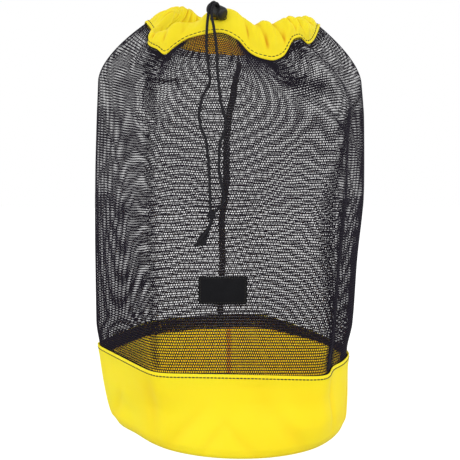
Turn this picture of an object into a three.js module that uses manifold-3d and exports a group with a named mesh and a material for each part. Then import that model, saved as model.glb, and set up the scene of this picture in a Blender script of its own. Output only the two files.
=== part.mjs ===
// A drawstring stuff sack: coated nylon base, net body, gathered nylon casing, drawcord and spring cord lock.
// Millimetres, +Z up. The sack stands on its flat base at the origin, with its front facing -Y.
import * as THREE from "three";
import { mergeVertices } from "three/addons/utils/BufferGeometryUtils.js";
import Module from "manifold-3d";

const wasm = await Module();
wasm.setup();

// Cloth and clearances
const NYLON = 1.2;
const NET = 1.2;
const TAPE = 0.8;
const CLEARANCE = 0.3;
const SEAM_GAP = 0.7; // between the net's top edge and the casing
const TUCK_GAP = 0.5; // between the net and the band outside it
const TAPE_GAP = 0.9; // between the net and the tape inside it

// Heights above the floor
const NET_FOOT = 64; // the net is sewn in below the rim of the base
const SIDE_HEM_HEIGHT = 392;
const BASE_ROWS = [5, 12, 30]; // where the base turns up from the floor
const HEM_LEVELLING = 3; // power by which the wall's heights are stretched to its uneven hem

// Spokes are the upright sections round the sack, which crowd towards the front where the folds are
const SPOKES = 72;
const FRONT_CROWDING = 20; // degrees
const STRAIGHT_ROWS = 6;
const SHOULDER_ROWS = 5;

// Plan of the sack at the rim: flat panels that meet in soft corners.
// Azimuth is in degrees from the front, positive to the right; reach is from the axis to the panel.
const CORNER_SHARPNESS = 22;
const PANELS = [
  { name: "front", azimuth: 0, reach: 105 },
  { name: "right front", azimuth: 68, reach: 118 },
  { name: "right", azimuth: 105, reach: 113 },
  { name: "right back", azimuth: 130, reach: 112 },
  { name: "back", azimuth: 180, reach: 125 },
  { name: "left back", azimuth: 207, reach: 118 },
  { name: "left", azimuth: 246, reach: 115 },
  { name: "left front", azimuth: 304, reach: 108.6 },
];

// How far the sack reaches to each side of its axis, by height, and how far its plan is drawn to a circle
const SECTIONS = [
  { height: 0, left: 112, right: 117, front: 108.5, back: 112, round: 0.9 },
  { height: 8, left: 118.5, right: 120, front: 110.5, back: 117, round: 0.75 },
  { height: 30, left: 124, right: 120.5, front: 108.5, back: 121, round: 0.4 },
  { height: 73, left: 130, right: 121, front: 106, back: 125, round: 0 },
  { height: 100, left: 133.5, right: 126, front: 108, back: 128, round: 0 },
  { height: 160, left: 133.5, right: 129.5, front: 111, back: 131, round: 0.05 },
  { height: 235, left: 132.5, right: 135.5, front: 112, back: 131, round: 0.1 },
  { height: 300, left: 130, right: 134.5, front: 110, back: 129, round: 0.1 },
  { height: 340, left: 128, right: 131.5, front: 106, back: 124, round: 0.2 },
  { height: 392, left: 126, right: 128.5, front: 102, back: 118, round: 0.45 },
];

// Height of the base's rim round the sack
const RIM = [
  { azimuth: -90, height: 76 },
  { azimuth: 0, height: 73.5 },
  { azimuth: 90, height: 69.5 },
  { azimuth: 180, height: 79 },
];

// Folds press the wall in along a line from low to high, or out where their depth is negative;
// spread is half their width in degrees
const FOLDS = [
  { name: "base left tuck", low: -40, high: 66, from: -44, to: -36, depth: 7, spread: 24 },
  { name: "base left corner", low: -40, high: 44, from: -60, to: -60, depth: 5, spread: 14 },
  { name: "base right bulge", low: -40, high: 50, from: 25, to: 30, depth: -6, spread: 30 },
  { name: "right valley", low: 10, high: 372, from: 51, to: 64, depth: 6.5, spread: 8 },
  { name: "left pocket", low: 296, high: 372, from: -36, to: -30, depth: 9, spread: 8 },
  { name: "right diagonal", low: 286, high: 376, from: 52, to: 22, depth: 8, spread: 7 },
  { name: "back seam pull", low: 60, high: 372, from: 181, to: 172, depth: 4, spread: 9 },
];
const FOLD_FADE = 0.3; // share of a fold's height over which it fades in and out

// The shoulder draws the wall in to the casing over the top of its height
const SHOULDER_START = 0.83;
const SHOULDER_POWER = 1.8;

// The casing round the mouth, a row for each lobe, hill or pleat: its sewn hem below and its folded top edge
const CASING = [
  { azimuth: -150, hemReach: 86.5, hemHeight: 379, topReach: 58, topHeight: 410 },
  { azimuth: -135, hemReach: 85.5, hemHeight: 383, topReach: 53, topHeight: 414 },
  { azimuth: -120, hemReach: 84.5, hemHeight: 387, topReach: 50, topHeight: 412.5 },
  { azimuth: -85, hemReach: 81, hemHeight: 392, topReach: 46, topHeight: 402 },
  { azimuth: -64, hemReach: 77.5, hemHeight: 378, topReach: 55, topHeight: 398 },
  { azimuth: -47, hemReach: 95.5, hemHeight: 360, topReach: 85, topHeight: 371 },
  { azimuth: -40, hemReach: 96.6, hemHeight: 355.5, topReach: 83, topHeight: 374 },
  { azimuth: -34, hemReach: 97.3, hemHeight: 350, topReach: 81.4, topHeight: 377 },
  { azimuth: -29, hemReach: 94.6, hemHeight: 356, topReach: 77.2, topHeight: 378.5 },
  { azimuth: -22, hemReach: 90.7, hemHeight: 363, topReach: 71.8, topHeight: 380 },
  { azimuth: -4, hemReach: 91, hemHeight: 367, topReach: 67, topHeight: 392 },
  { azimuth: 6, hemReach: 91, hemHeight: 361, topReach: 69, topHeight: 388 },
  { azimuth: 13, hemReach: 92, hemHeight: 350, topReach: 72, topHeight: 383 },
  { azimuth: 18, hemReach: 94, hemHeight: 346, topReach: 73.5, topHeight: 376 },
  { azimuth: 24, hemReach: 96.6, hemHeight: 344, topReach: 75.7, topHeight: 379 },
  { azimuth: 31, hemReach: 95.8, hemHeight: 348, topReach: 76, topHeight: 379.5 },
  { azimuth: 41, hemReach: 92.5, hemHeight: 365, topReach: 75.6, topHeight: 383 },
  { azimuth: 48, hemReach: 91.2, hemHeight: 368, topReach: 76, topHeight: 388 },
  { azimuth: 55, hemReach: 90.6, hemHeight: 364, topReach: 78.8, topHeight: 387 },
  { azimuth: 85, hemReach: 91.8, hemHeight: 389, topReach: 68.4, topHeight: 393.5 },
  { azimuth: 120, hemReach: 90.4, hemHeight: 386, topReach: 61, topHeight: 397 },
  { azimuth: 155, hemReach: 87.6, hemHeight: 375, topReach: 59.7, topHeight: 393 },
];
const GATHERS = 20; // ripples round the casing's top edge
const GATHER_DEPTH = 1.5;

// Section of the casing: along from the hem to the top edge as a share, out from its middle in millimetres
const CASING_SKIN = [
  { along: 0, out: 1 },
  { along: 0.3, out: 3 },
  { along: 0.82, out: 3 },
  { along: 1, out: 1 },
];
const CASING_BORE = [
  { along: 0.16, out: 0 },
  { along: 0.32, out: 1.8 },
  { along: 0.8, out: 1.8 },
  { along: 0.94, out: 0 },
];

// Drawcord and its buttonhole in the front of the casing
const CORD = 2.4;
const CORD_SIDES = 8;
const CORD_ALONG = 0.5; // where the cord lies between the casing's hem and top
const BUTTONHOLE = { azimuth: -5, halfLength: 6, halfWidth: 2.5, depth: 6 };
const RING_END = 2.2; // degrees from the buttonhole to each end of the hidden cord
const RING_MARGIN = 1; // degrees that a spoke keeps from those ends

// Routes of the loose cord as [x, y, z]: each strand leaves the casing, passes through the lock,
// arches over to the left, hangs down to the net and lies on it as far as the knot
const STRAND_STEPS = 34;
const LEFT_STRAND = [
  [-7.8, -76.8, 379.8],
  [-8.4, -83, 385.8],
  [-8.8, -86.9, 389.7],
  [-10.2, -90.5, 391.3],
  [-12.2, -92.9, 390.3],
  [-13.6, -93.7, 388.4],
  [-14.5, -93.5, 386.2],
  [-15.1, -93.4, 382.5],
  [-15.7, -93.7, 377.5],
  [-16.4, -94.4, 370.8],
  [-16.8, -95.1, 361.5],
  [-16.8, -96.3, 353],
  [-16.4, -98.5, 346],
  [-14.6, -103.4, 332.3],
  [-13.8, -105.6, 323.7],
  [-16.2, -106.3, 317.8],
  [-20.2, -107.5, 309.5],
  [-22, -108.6, 301],
  [-22.8, -109.5, 292.7],
  [-20.4, -110.1, 283.5],
  [-17.1, -110.6, 275.3],
  [-16.2, -111, 267],
  [-14.6, -111.6, 253],
  [-14.1, -111.9, 239.6],
  [-13.7, -112, 228],
  [-13.3, -112.2, 216.4],
];
const RIGHT_STRAND = [
  [-5.7, -78.2, 378.6],
  [-6.3, -84.4, 384.6],
  [-6.7, -88.4, 388.5],
  [-8.1, -91.9, 390.1],
  [-10.1, -94.4, 389.1],
  [-11.4, -95.1, 387.2],
  [-12.2, -94.9, 385.3],
  [-12.6, -94.9, 381.5],
  [-12.2, -95.1, 377],
  [-11, -95.4, 371.4],
  [-9.6, -95.9, 362.5],
  [-8.6, -96.8, 354],
  [-8, -99.4, 346],
  [-7.4, -104, 332],
  [-6.2, -106.8, 319.4],
  [-4.5, -108.6, 305],
  [-2.1, -109.6, 296],
  [-0.5, -110.1, 288.5],
  [-2, -110.6, 280.3],
  [-5.2, -111, 271.2],
  [-6.1, -111.5, 258.7],
  [-6.1, -111.9, 248],
  [-4.5, -112, 239.6],
  [-2.2, -112.1, 228.5],
  [-2.4, -112.1, 223],
  [-5.1, -112.2, 218.5],
  [-9.4, -112.7, 215.1],
];

// The knot that ties both strands, and the tails that splay below it, the left one in front
const KNOT = { centre: [-12.4, -113.3, 212.2], halfSize: [3.4, 2.8, 3.8], around: 12, rows: 8 };
const TAIL_STEPS = 6;
const LEFT_TAIL = [
  [-12.9, -114.5, 207.9],
  [-14.1, -114.7, 204],
  [-15.5, -114.7, 200],
  [-18, -114.1, 196],
  [-21.2, -112.8, 192],
  [-24.2, -112, 188.6],
  [-26.6, -111.6, 185.8],
];
const RIGHT_TAIL = [
  [-12.1, -112, 207.8],
  [-13.3, -112, 204],
  [-14.7, -112, 200],
  [-16.3, -111.9, 195],
  [-17.7, -111.8, 191],
  [-19.1, -111.6, 186.8],
];

// Spring cord lock, measured along its axis from the barrel's mouth
const LOCK_SIDES = 18;
const BARREL_RADIUS = 5.6;
const BARREL_LENGTH = 11.8;
const BORE_RADIUS = 4;
const BORE_DEPTH = 10.4;
const STEM_RADIUS = 3.7;
const STEM_END = 7.9;
const HEAD_RADIUS = 5.1;
const HEAD_LENGTH = 3.4;
const HEAD_STANDOFF = 2.6; // between the head and the barrel's mouth
const PLUNGER_TRAVEL = 2.2;
const CORD_HOLE = { along: 4.2, halfLength: 2.95, halfWidth: 1.65 };
const LOCK_TILT = 42.6; // degrees that the axis leans down to the right
const MOUTH_BEVEL = { inset: 0.5, depth: 0.8 };
const BARREL_CROWN = [
  { inset: 0, fromEnd: 3 },
  { inset: 0.8, fromEnd: 1 },
  { inset: 2.4, fromEnd: 0 },
];
const HEAD_CROWN = [
  { radiusShare: 1, lengthShare: 0.4 },
  { radiusShare: 0.8, lengthShare: 0.8 },
  { radiusShare: 0.4, lengthShare: 1 },
];

// Label on the front and tape over the back seam
const LABEL = { left: -11.8, right: 8.6, low: 135.6, high: 159.4, thickness: 0.8, columns: 6, rows: 3 };
const SEAM_TAPE = { foot: 66, top: 371, rows: 14, halfWidth: 1.7 };
const SEAM_PATH = [
  { height: 66, azimuth: 184.4 },
  { height: 132, azimuth: 182.9 },
  { height: 180, azimuth: 182.8 },
  { height: 244, azimuth: 180.6 },
  { height: 302, azimuth: 179.9 },
  { height: 336, azimuth: 177.2 },
  { height: 356, azimuth: 174.8 },
  { height: 371, azimuth: 172 },
];

// Small steps to either side of a place that give a wall's slope there, and the span that joins equal points
const AZIMUTH_STEP = 0.5;
const HEIGHT_STEP = 0.5;
const SHARE_STEP = 0.002;
const JOIN_SPAN = 1e-4;

const { degToRad, lerp, smoothstep } = THREE.MathUtils;

// Slope of a column at a row, level at peaks and dips so that no value overshoots
function slopeAt(rows, key, column, i) {
  const before = rows[i - 1];
  const after = rows[i + 1];
  if (!before || !after) return 0;
  const row = rows[i];
  const rise = (row[column] - before[column]) / (row[key] - before[key]);
  const next = (after[column] - row[column]) / (after[key] - row[key]);
  return rise * next <= 0 ? 0 : (2 * rise * next) / (rise + next);
}

// A column's value between the rows of a table sorted by key
function between(rows, key, at, column) {
  const last = rows.length - 2;
  const found = rows.findIndex((row, i) => i <= last && at <= rows[i + 1][key]);
  const i = found < 0 ? last : found;
  const span = rows[i + 1][key] - rows[i][key];
  const t = THREE.MathUtils.clamp((at - rows[i][key]) / span, 0, 1);
  const start = slopeAt(rows, key, column, i) * span;
  const end = slopeAt(rows, key, column, i + 1) * span;
  const a = rows[i][column];
  const b = rows[i + 1][column];
  return a + t * (start + t * (3 * (b - a) - 2 * start - end + t * (2 * (a - b) + start + end)));
}

// A table by azimuth with its rows repeated past both ends of the full turn
function roundTable(rows) {
  return [-360, 0, 360].flatMap((turn) => rows.map((row) => ({ ...row, azimuth: row.azimuth + turn })));
}
const CASING_ROUND = roundTable(CASING);
const RIM_ROUND = roundTable(RIM);

const casingAt = (azimuth, column) => between(CASING_ROUND, "azimuth", wrapped(azimuth), column);
const rimAt = (azimuth) => between(RIM_ROUND, "azimuth", wrapped(azimuth), "height");

function wrapped(azimuth) {
  return THREE.MathUtils.euclideanModulo(azimuth + 180, 360) - 180;
}

// Reach of the soft-cornered plan before it is fitted to a section
function planReach(azimuth) {
  const nearness = PANELS.map((panel) => {
    const facing = Math.cos(degToRad(azimuth - panel.azimuth));
    return Math.max(0, facing / panel.reach) ** CORNER_SHARPNESS;
  });
  return nearness.reduce((sum, n) => sum + n, 0) ** (-1 / CORNER_SHARPNESS);
}

// The furthest that the plan reaches to each side
function planExtent() {
  const extent = { left: 0, right: 0, front: 0, back: 0 };
  for (let azimuth = 0; azimuth < 360; azimuth += 1) {
    const x = planReach(azimuth) * Math.sin(degToRad(azimuth));
    const y = planReach(azimuth) * Math.cos(degToRad(azimuth));
    extent.right = Math.max(extent.right, x);
    extent.left = Math.max(extent.left, -x);
    extent.front = Math.max(extent.front, y);
    extent.back = Math.max(extent.back, -y);
  }
  return extent;
}
const PLAN_EXTENT = planExtent();

// How far all folds together press the wall in at a place
function foldDepth(azimuth, height) {
  return FOLDS.reduce((sum, fold) => {
    const share = THREE.MathUtils.clamp((height - fold.low) / (fold.high - fold.low), 0, 1);
    const fade = smoothstep(share, 0, FOLD_FADE) * (1 - smoothstep(share, 1 - FOLD_FADE, 1));
    const off = wrapped(azimuth - lerp(fold.from, fold.to, share)) / fold.spread;
    return sum + fold.depth * fade * Math.exp(-off * off);
  }, 0);
}

// A point of the sack's outline at a height
function outlinePoint(azimuth, height) {
  const section = (column) => between(SECTIONS, "height", height, column);
  const a = degToRad(azimuth);
  const side = Math.sin(a) < 0 ? "left" : "right";
  const face = Math.cos(a) > 0 ? "front" : "back";
  const round = section("round");
  const panel = planReach(azimuth);
  const wide = lerp(panel / PLAN_EXTENT[side], 1, round) * section(side);
  const deep = lerp(panel / PLAN_EXTENT[face], 1, round) * section(face);
  const pressed = 1 - foldDepth(azimuth, height) / panel;
  return new THREE.Vector3(wide * pressed * Math.sin(a), -deep * pressed * Math.cos(a), height);
}

// A point of the net's wall, from its foot at 0 to the casing's hem at 1
function netPoint(azimuth, share) {
  const hem = casingAt(azimuth, "hemHeight");
  const height = lerp(NET_FOOT, hem, share);
  const point = outlinePoint(azimuth, height + (SIDE_HEM_HEIGHT - hem) * share ** HEM_LEVELLING);
  const drawn = Math.max(0, (share - SHOULDER_START) / (1 - SHOULDER_START)) ** SHOULDER_POWER;
  point.lerp(spokePoint(azimuth, casingAt(azimuth, "hemReach"), hem), drawn);
  point.z = height;
  return point;
}

function spokePoint(azimuth, reach, height) {
  const a = degToRad(azimuth);
  return new THREE.Vector3(reach * Math.sin(a), -reach * Math.cos(a), height);
}

// A point off a wall along its outward normal
function offWall(wall, azimuth, level, out, levelStep) {
  const point = wall(azimuth, level);
  const across = wall(azimuth + AZIMUTH_STEP, level).sub(wall(azimuth - AZIMUTH_STEP, level));
  const up = wall(azimuth, level + levelStep).sub(wall(azimuth, level - levelStep));
  return point.addScaledVector(across.cross(up).normalize(), out);
}

const baseWallPoint = (azimuth, height, out) => offWall(outlinePoint, azimuth, height, out, HEIGHT_STEP);
const netWallPoint = (azimuth, share, out) => offWall(netPoint, azimuth, share, out, SHARE_STEP);

// A point of the casing's section at a spoke
function casingPoint(azimuth, along, out) {
  const hem = new THREE.Vector2(casingAt(azimuth, "hemReach") - NET_OUT, casingAt(azimuth, "hemHeight"));
  const top = new THREE.Vector2(casingAt(azimuth, "topReach"), casingAt(azimuth, "topHeight"));
  const up = top.clone().sub(hem);
  const outward = new THREE.Vector2(up.y, -up.x).normalize();
  const ripple = GATHER_DEPTH * along * Math.sin(degToRad(GATHERS * azimuth));
  const place = hem.addScaledVector(up, along).addScaledVector(outward, out + ripple);
  return spokePoint(azimuth, place.x, place.y);
}

// Layers of the wall, measured from the outline inwards
const NET_OUT = NYLON + TUCK_GAP;
const NET_IN = NET_OUT + NET;

// Azimuths of all spokes
const SPOKE_AZIMUTHS = Array.from({ length: SPOKES }, (_, i) => {
  const turn = i / SPOKES;
  return 360 * turn - FRONT_CROWDING * Math.sin(2 * Math.PI * turn);
});

function geometryFrom(points, faces) {
  const geometry = new THREE.BufferGeometry().setFromPoints(points);
  geometry.setIndex(faces.flat());
  geometry.computeVertexNormals();
  return geometry;
}

// Faces between loops of equally many points, each loop closed on itself
function loftFaces(loops, size, closed) {
  const faces = [];
  const steps = closed ? loops : loops - 1;
  for (let i = 0; i < steps; i += 1) {
    const here = i * size;
    const next = ((i + 1) % loops) * size;
    for (let k = 0; k < size; k += 1) {
      const after = (k + 1) % size;
      faces.push([here + k, next + k, next + after], [here + k, next + after, here + after]);
    }
  }
  return faces;
}

// A closed ring made of one section loop at each spoke
function ringGeometry(loopAt) {
  const loops = SPOKE_AZIMUTHS.map(loopAt);
  return geometryFrom(loops.flat(), loftFaces(loops.length, loops[0].length, true));
}

// A strip made of section loops with a flat cap at each end
function stripGeometry(loops) {
  const size = loops[0].length;
  const faces = loftFaces(loops.length, size, false);
  const last = (loops.length - 1) * size;
  for (let k = 1; k < size - 1; k += 1) {
    faces.push([0, k, k + 1], [last, last + k + 1, last + k]);
  }
  return geometryFrom(loops.flat(), faces);
}

// Section loop of a wall: up its outer face and down its inner face
function wallLoop(pointAt, levels, outer, inner) {
  const up = levels.map((level) => pointAt(level, outer));
  const down = [...levels].reverse().map((level) => pointAt(level, inner));
  return [...up, ...down];
}

function levelsFrom(low, high, rows) {
  return Array.from({ length: rows + 1 }, (_, i) => lerp(low, high, i / rows));
}

function solidOf(geometry) {
  const bare = geometry.clone();
  bare.deleteAttribute("normal");
  bare.deleteAttribute("uv");
  const merged = mergeVertices(bare, JOIN_SPAN);
  const vertProperties = merged.attributes.position.array;
  const triVerts = new Uint32Array(merged.index.array);
  return new wasm.Manifold(new wasm.Mesh({ numProp: 3, vertProperties, triVerts }));
}

function geometryOf(solid) {
  const mesh = solid.getMesh();
  const geometry = new THREE.BufferGeometry();
  geometry.setAttribute("position", new THREE.BufferAttribute(mesh.vertProperties, 3));
  geometry.setIndex(new THREE.BufferAttribute(mesh.triVerts, 1));
  geometry.computeVertexNormals();
  return geometry;
}

function cut(geometry, ...tools) {
  const solid = tools.reduce((rest, tool) => rest.subtract(solidOf(tool)), solidOf(geometry));
  return geometryOf(solid);
}

// Round bottom panel
function baseDiscGeometry() {
  const edge = SPOKE_AZIMUTHS.map((azimuth) => outlinePoint(azimuth, 0));
  const outline = new THREE.Shape(edge.map((point) => new THREE.Vector2(point.x, point.y)));
  return new THREE.ExtrudeGeometry(outline, { depth: NYLON, bevelEnabled: false });
}

// Side band of the base
function baseWallGeometry() {
  const foot = NYLON + CLEARANCE;
  return ringGeometry((azimuth) => {
    const levels = [foot, ...BASE_ROWS, NET_FOOT, rimAt(azimuth)];
    return wallLoop((height, out) => baseWallPoint(azimuth, height, out), levels, 0, -NYLON);
  });
}

// Net tube, from inside the band to the casing
function netBodyGeometry() {
  return ringGeometry((azimuth) => {
    const length = casingAt(azimuth, "hemHeight") - NET_FOOT;
    const tuck = (rimAt(azimuth) - NET_FOOT) / length;
    const straight = levelsFrom(tuck, SHOULDER_START, STRAIGHT_ROWS);
    const shoulder = levelsFrom(SHOULDER_START, 1 - SEAM_GAP / length, SHOULDER_ROWS).slice(1);
    const levels = [0, ...straight, ...shoulder];
    return wallLoop((share, out) => netWallPoint(azimuth, share, out), levels, -NET_OUT, -NET_IN);
  });
}

// Tape over the net's seam, inside the back
function seamTapeGeometry() {
  const outer = -NET_IN - TAPE_GAP;
  const loops = levelsFrom(SEAM_TAPE.foot, SEAM_TAPE.top, SEAM_TAPE.rows).map((height) => {
    const middle = between(SEAM_PATH, "height", height, "azimuth");
    const share = (height - NET_FOOT) / (casingAt(middle, "hemHeight") - NET_FOOT);
    const at = (side, out) => netWallPoint(middle + side * SEAM_TAPE.halfWidth, share, out);
    return [at(-1, outer), at(1, outer), at(1, outer - TAPE), at(-1, outer - TAPE)];
  });
  return stripGeometry(loops.reverse());
}

// Label on the front of the net
function labelGeometry() {
  const inner = CLEARANCE - NET_OUT;
  const loops = levelsFrom(LABEL.left, LABEL.right, LABEL.columns).map((azimuth) => {
    const shareAt = (height) => (height - NET_FOOT) / (casingAt(azimuth, "hemHeight") - NET_FOOT);
    const at = (height, out) => netWallPoint(azimuth, shareAt(height), out);
    const levels = levelsFrom(LABEL.low, LABEL.high, LABEL.rows);
    return wallLoop(at, levels, inner + LABEL.thickness, inner);
  });
  return stripGeometry(loops);
}

// Hollow casing with a buttonhole through its outer skin
function casingGeometry() {
  const loopOf = (section) => (azimuth) => {
    const outer = section.map(({ along, out }) => casingPoint(azimuth, along, out));
    const inner = section.filter(({ out }) => out > 0).reverse();
    return [...outer, ...inner.map(({ along, out }) => casingPoint(azimuth, along, -out))];
  };
  const skin = ringGeometry(loopOf(CASING_SKIN));
  const bore = ringGeometry(loopOf(CASING_BORE));
  const { halfLength, halfWidth, depth } = BUTTONHOLE;
  const slot = new THREE.BoxGeometry(2 * halfLength, 2 * halfWidth, depth);
  slot.translate(0, 0, depth / 2);
  slot.applyMatrix4(buttonholeFrame());
  return cut(skin, bore, slot);
}

// Frame at the buttonhole: x along the casing, y up it, z out of it
function buttonholeFrame() {
  const { azimuth } = BUTTONHOLE;
  const place = casingPoint(azimuth, CORD_ALONG, 0);
  const x = casingPoint(azimuth + 1, CORD_ALONG, 0).sub(casingPoint(azimuth - 1, CORD_ALONG, 0)).normalize();
  const up = casingPoint(azimuth, CORD_ALONG + 0.1, 0).sub(casingPoint(azimuth, CORD_ALONG - 0.1, 0));
  const z = x.clone().cross(up).normalize();
  const y = z.clone().cross(x);
  return new THREE.Matrix4().makeBasis(x, y, z).setPosition(place);
}

// Cord that lies hidden in the casing, from one side of the buttonhole round to the other
function cordRingGeometry() {
  const start = BUTTONHOLE.azimuth + RING_END;
  const end = BUTTONHOLE.azimuth - RING_END + 360;
  const clear = (azimuth) => azimuth > start + RING_MARGIN && azimuth < end - RING_MARGIN;
  const inside = SPOKE_AZIMUTHS.filter(clear);
  const loops = [start, ...inside, end].map((azimuth) => {
    const length = casingPoint(azimuth, 1, 0).distanceTo(casingPoint(azimuth, 0, 0));
    return Array.from({ length: CORD_SIDES }, (_, k) => {
      const turn = (2 * Math.PI * (k + 0.5)) / CORD_SIDES;
      const along = CORD_ALONG + (CORD / 2 / length) * Math.sin(turn);
      return casingPoint(azimuth, along, (CORD / 2) * Math.cos(turn));
    });
  });
  return stripGeometry(loops);
}

// Cord along a route
function cordGeometry(route, steps) {
  const extrudePath = new THREE.CatmullRomCurve3(route.map((point) => new THREE.Vector3(...point)));
  const corners = Array.from({ length: CORD_SIDES }, (_, k) => {
    const turn = (2 * Math.PI * k) / CORD_SIDES;
    return new THREE.Vector2(Math.cos(turn), Math.sin(turn)).multiplyScalar(CORD / 2);
  });
  return new THREE.ExtrudeGeometry(new THREE.Shape(corners), { steps, bevelEnabled: false, extrudePath });
}

function knotGeometry() {
  const ball = new THREE.SphereGeometry(1, KNOT.around, KNOT.rows);
  return ball.scale(...KNOT.halfSize).translate(...KNOT.centre);
}

// A turned solid about +Z from a profile of [radius, height] pairs
function turned(profile) {
  const points = profile.map(([radius, height]) => new THREE.Vector2(radius, height));
  return new THREE.LatheGeometry(points, LOCK_SIDES).rotateX(Math.PI / 2).rotateX(Math.PI);
}

// A slot across the lock for the two strands of cord
function cordSlot(low, high) {
  const slot = new THREE.BoxGeometry(4 * BARREL_RADIUS, 2 * CORD_HOLE.halfWidth, high - low);
  return slot.translate(0, 0, (low + high) / 2);
}

function barrelGeometry() {
  const { along, halfLength } = CORD_HOLE;
  const barrel = turned([
    [0, -BORE_DEPTH],
    [BORE_RADIUS, -BORE_DEPTH],
    [BORE_RADIUS, 0],
    [BARREL_RADIUS - MOUTH_BEVEL.inset, 0],
    [BARREL_RADIUS, -MOUTH_BEVEL.depth],
    ...BARREL_CROWN.map(({ inset, fromEnd }) => [BARREL_RADIUS - inset, fromEnd - BARREL_LENGTH]),
    [0, -BARREL_LENGTH],
  ].reverse());
  return cut(barrel, cordSlot(along - halfLength, along + halfLength));
}

function plungerGeometry() {
  const { along, halfLength } = CORD_HOLE;
  const plunger = turned([
    [0, -STEM_END],
    [STEM_RADIUS, -STEM_END],
    [STEM_RADIUS, HEAD_STANDOFF],
    [HEAD_RADIUS, HEAD_STANDOFF],
    ...HEAD_CROWN.map(({ radiusShare, lengthShare }) => [
      radiusShare * HEAD_RADIUS,
      HEAD_STANDOFF + lengthShare * HEAD_LENGTH,
    ]),
    [0, HEAD_STANDOFF + HEAD_LENGTH],
  ]);
  return cut(plunger, cordSlot(along - halfLength - PLUNGER_TRAVEL, along + halfLength));
}

// Finishes
const YELLOW_NYLON = new THREE.MeshStandardMaterial({ color: 0xf6d313, roughness: 0.55, metalness: 0 });
const BLACK_NET = new THREE.MeshStandardMaterial({ color: 0x232127, roughness: 0.8, metalness: 0 });
const BLACK_CORD = new THREE.MeshStandardMaterial({ color: 0x1a191c, roughness: 0.85, metalness: 0 });
const BLACK_PLASTIC = new THREE.MeshStandardMaterial({ color: 0x151518, roughness: 0.4, metalness: 0 });
const BLACK_LABEL = new THREE.MeshStandardMaterial({ color: 0x1e1d20, roughness: 0.75, metalness: 0 });

function piece(name, geometry, material) {
  const mesh = new THREE.Mesh(geometry, material);
  mesh.name = name;
  return mesh;
}

// The lock lies on the casing with its cord hole over the buttonhole
function cordLock() {
  const lock = new THREE.Group();
  const seat = CASING_SKIN[1].out + CLEARANCE + BARREL_RADIUS;
  lock.applyMatrix4(buttonholeFrame());
  const turnedLock = new THREE.Group();
  const axis = new THREE.Vector3(Math.cos(degToRad(LOCK_TILT)), -Math.sin(degToRad(LOCK_TILT)), 0);
  const out = new THREE.Vector3(0, 0, 1);
  const across = axis.clone().cross(out);
  turnedLock.quaternion.setFromRotationMatrix(new THREE.Matrix4().makeBasis(out, across, axis));
  turnedLock.position.copy(out).multiplyScalar(seat).addScaledVector(axis, -CORD_HOLE.along);
  turnedLock.add(piece("cord_lock_barrel", barrelGeometry(), BLACK_PLASTIC));
  turnedLock.add(piece("cord_lock_plunger", plungerGeometry(), BLACK_PLASTIC));
  lock.add(turnedLock);
  return lock;
}

const sack = new THREE.Group();
sack.add(piece("base_disc", baseDiscGeometry(), YELLOW_NYLON));
sack.add(piece("base_wall", baseWallGeometry(), YELLOW_NYLON));
sack.add(piece("net_body", netBodyGeometry(), BLACK_NET));
sack.add(piece("back_seam_tape", seamTapeGeometry(), BLACK_NET));
sack.add(piece("label", labelGeometry(), BLACK_LABEL));
sack.add(piece("collar", casingGeometry(), YELLOW_NYLON));
sack.add(piece("drawcord_ring", cordRingGeometry(), BLACK_CORD));
sack.add(piece("drawcord_left", cordGeometry(LEFT_STRAND, STRAND_STEPS), BLACK_CORD));
sack.add(piece("drawcord_right", cordGeometry(RIGHT_STRAND, STRAND_STEPS), BLACK_CORD));
sack.add(piece("cord_knot", knotGeometry(), BLACK_CORD));
sack.add(piece("cord_tail_left", cordGeometry(LEFT_TAIL, TAIL_STEPS), BLACK_CORD));
sack.add(piece("cord_tail_right", cordGeometry(RIGHT_TAIL, TAIL_STEPS), BLACK_CORD));
sack.add(cordLock());

export default sack;
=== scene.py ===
"""Looks of a drawstring stuff sack: coated nylon base, net body, gathered casing, drawcord and cord lock.

The sack stands on the floor at the origin with its front towards -Y and +Z up. Sizes are in millimetres,
and azimuths in degrees from the front, positive to the right. Meshes hold metres.
"""
import logging
import math
from collections.abc import Callable
from dataclasses import dataclass, field
from enum import Enum

import bmesh
import bpy
import numpy as np
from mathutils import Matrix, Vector


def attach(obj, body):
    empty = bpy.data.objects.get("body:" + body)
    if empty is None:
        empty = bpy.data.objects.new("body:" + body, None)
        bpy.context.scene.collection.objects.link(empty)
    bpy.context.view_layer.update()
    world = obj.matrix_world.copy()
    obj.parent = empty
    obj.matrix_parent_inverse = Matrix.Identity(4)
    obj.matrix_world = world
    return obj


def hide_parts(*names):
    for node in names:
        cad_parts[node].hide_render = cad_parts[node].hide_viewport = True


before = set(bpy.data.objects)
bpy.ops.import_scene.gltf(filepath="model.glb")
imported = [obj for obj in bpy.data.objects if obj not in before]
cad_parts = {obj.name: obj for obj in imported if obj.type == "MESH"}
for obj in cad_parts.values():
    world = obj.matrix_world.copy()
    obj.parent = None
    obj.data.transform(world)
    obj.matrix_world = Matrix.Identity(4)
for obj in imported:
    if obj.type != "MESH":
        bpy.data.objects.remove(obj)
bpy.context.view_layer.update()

MM = 0.001
FULL_TURN = 360.0
HALF_TURN = 180.0
CLOTH_MAP = "Cloth"
BAKE_MAP = "OFBake"
RADIUS_ATTRIBUTE = "strand_radius"
NORMAL_ATTRIBUTE = "wall_normal"
# Point attribute that mixes in the nylon's deep colour: the seam's own tone, and painted shade in creases,
# pucker valleys and on inner faces
SEAM_AND_SHADE_ATTRIBUTE = "seam"
ROUTE_STEPS = 24
RING_START = (1.0, 0.3, 0.2)

Wall = Callable[[np.ndarray, np.ndarray], np.ndarray]
log = logging.getLogger("stuff_sack")


class Body(Enum):
    """Bodies of the model that pieces ride on."""

    SACK = "sack"
    PLUNGER = "plunger"


class Slot(Enum):
    """Material slots of the record."""

    NYLON = "yellow_nylon"
    NET = "black_net"
    TAPE = "black_tape"
    LABEL = "black_label"
    CORD = "black_cord"
    PLASTIC = "black_plastic"


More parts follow.
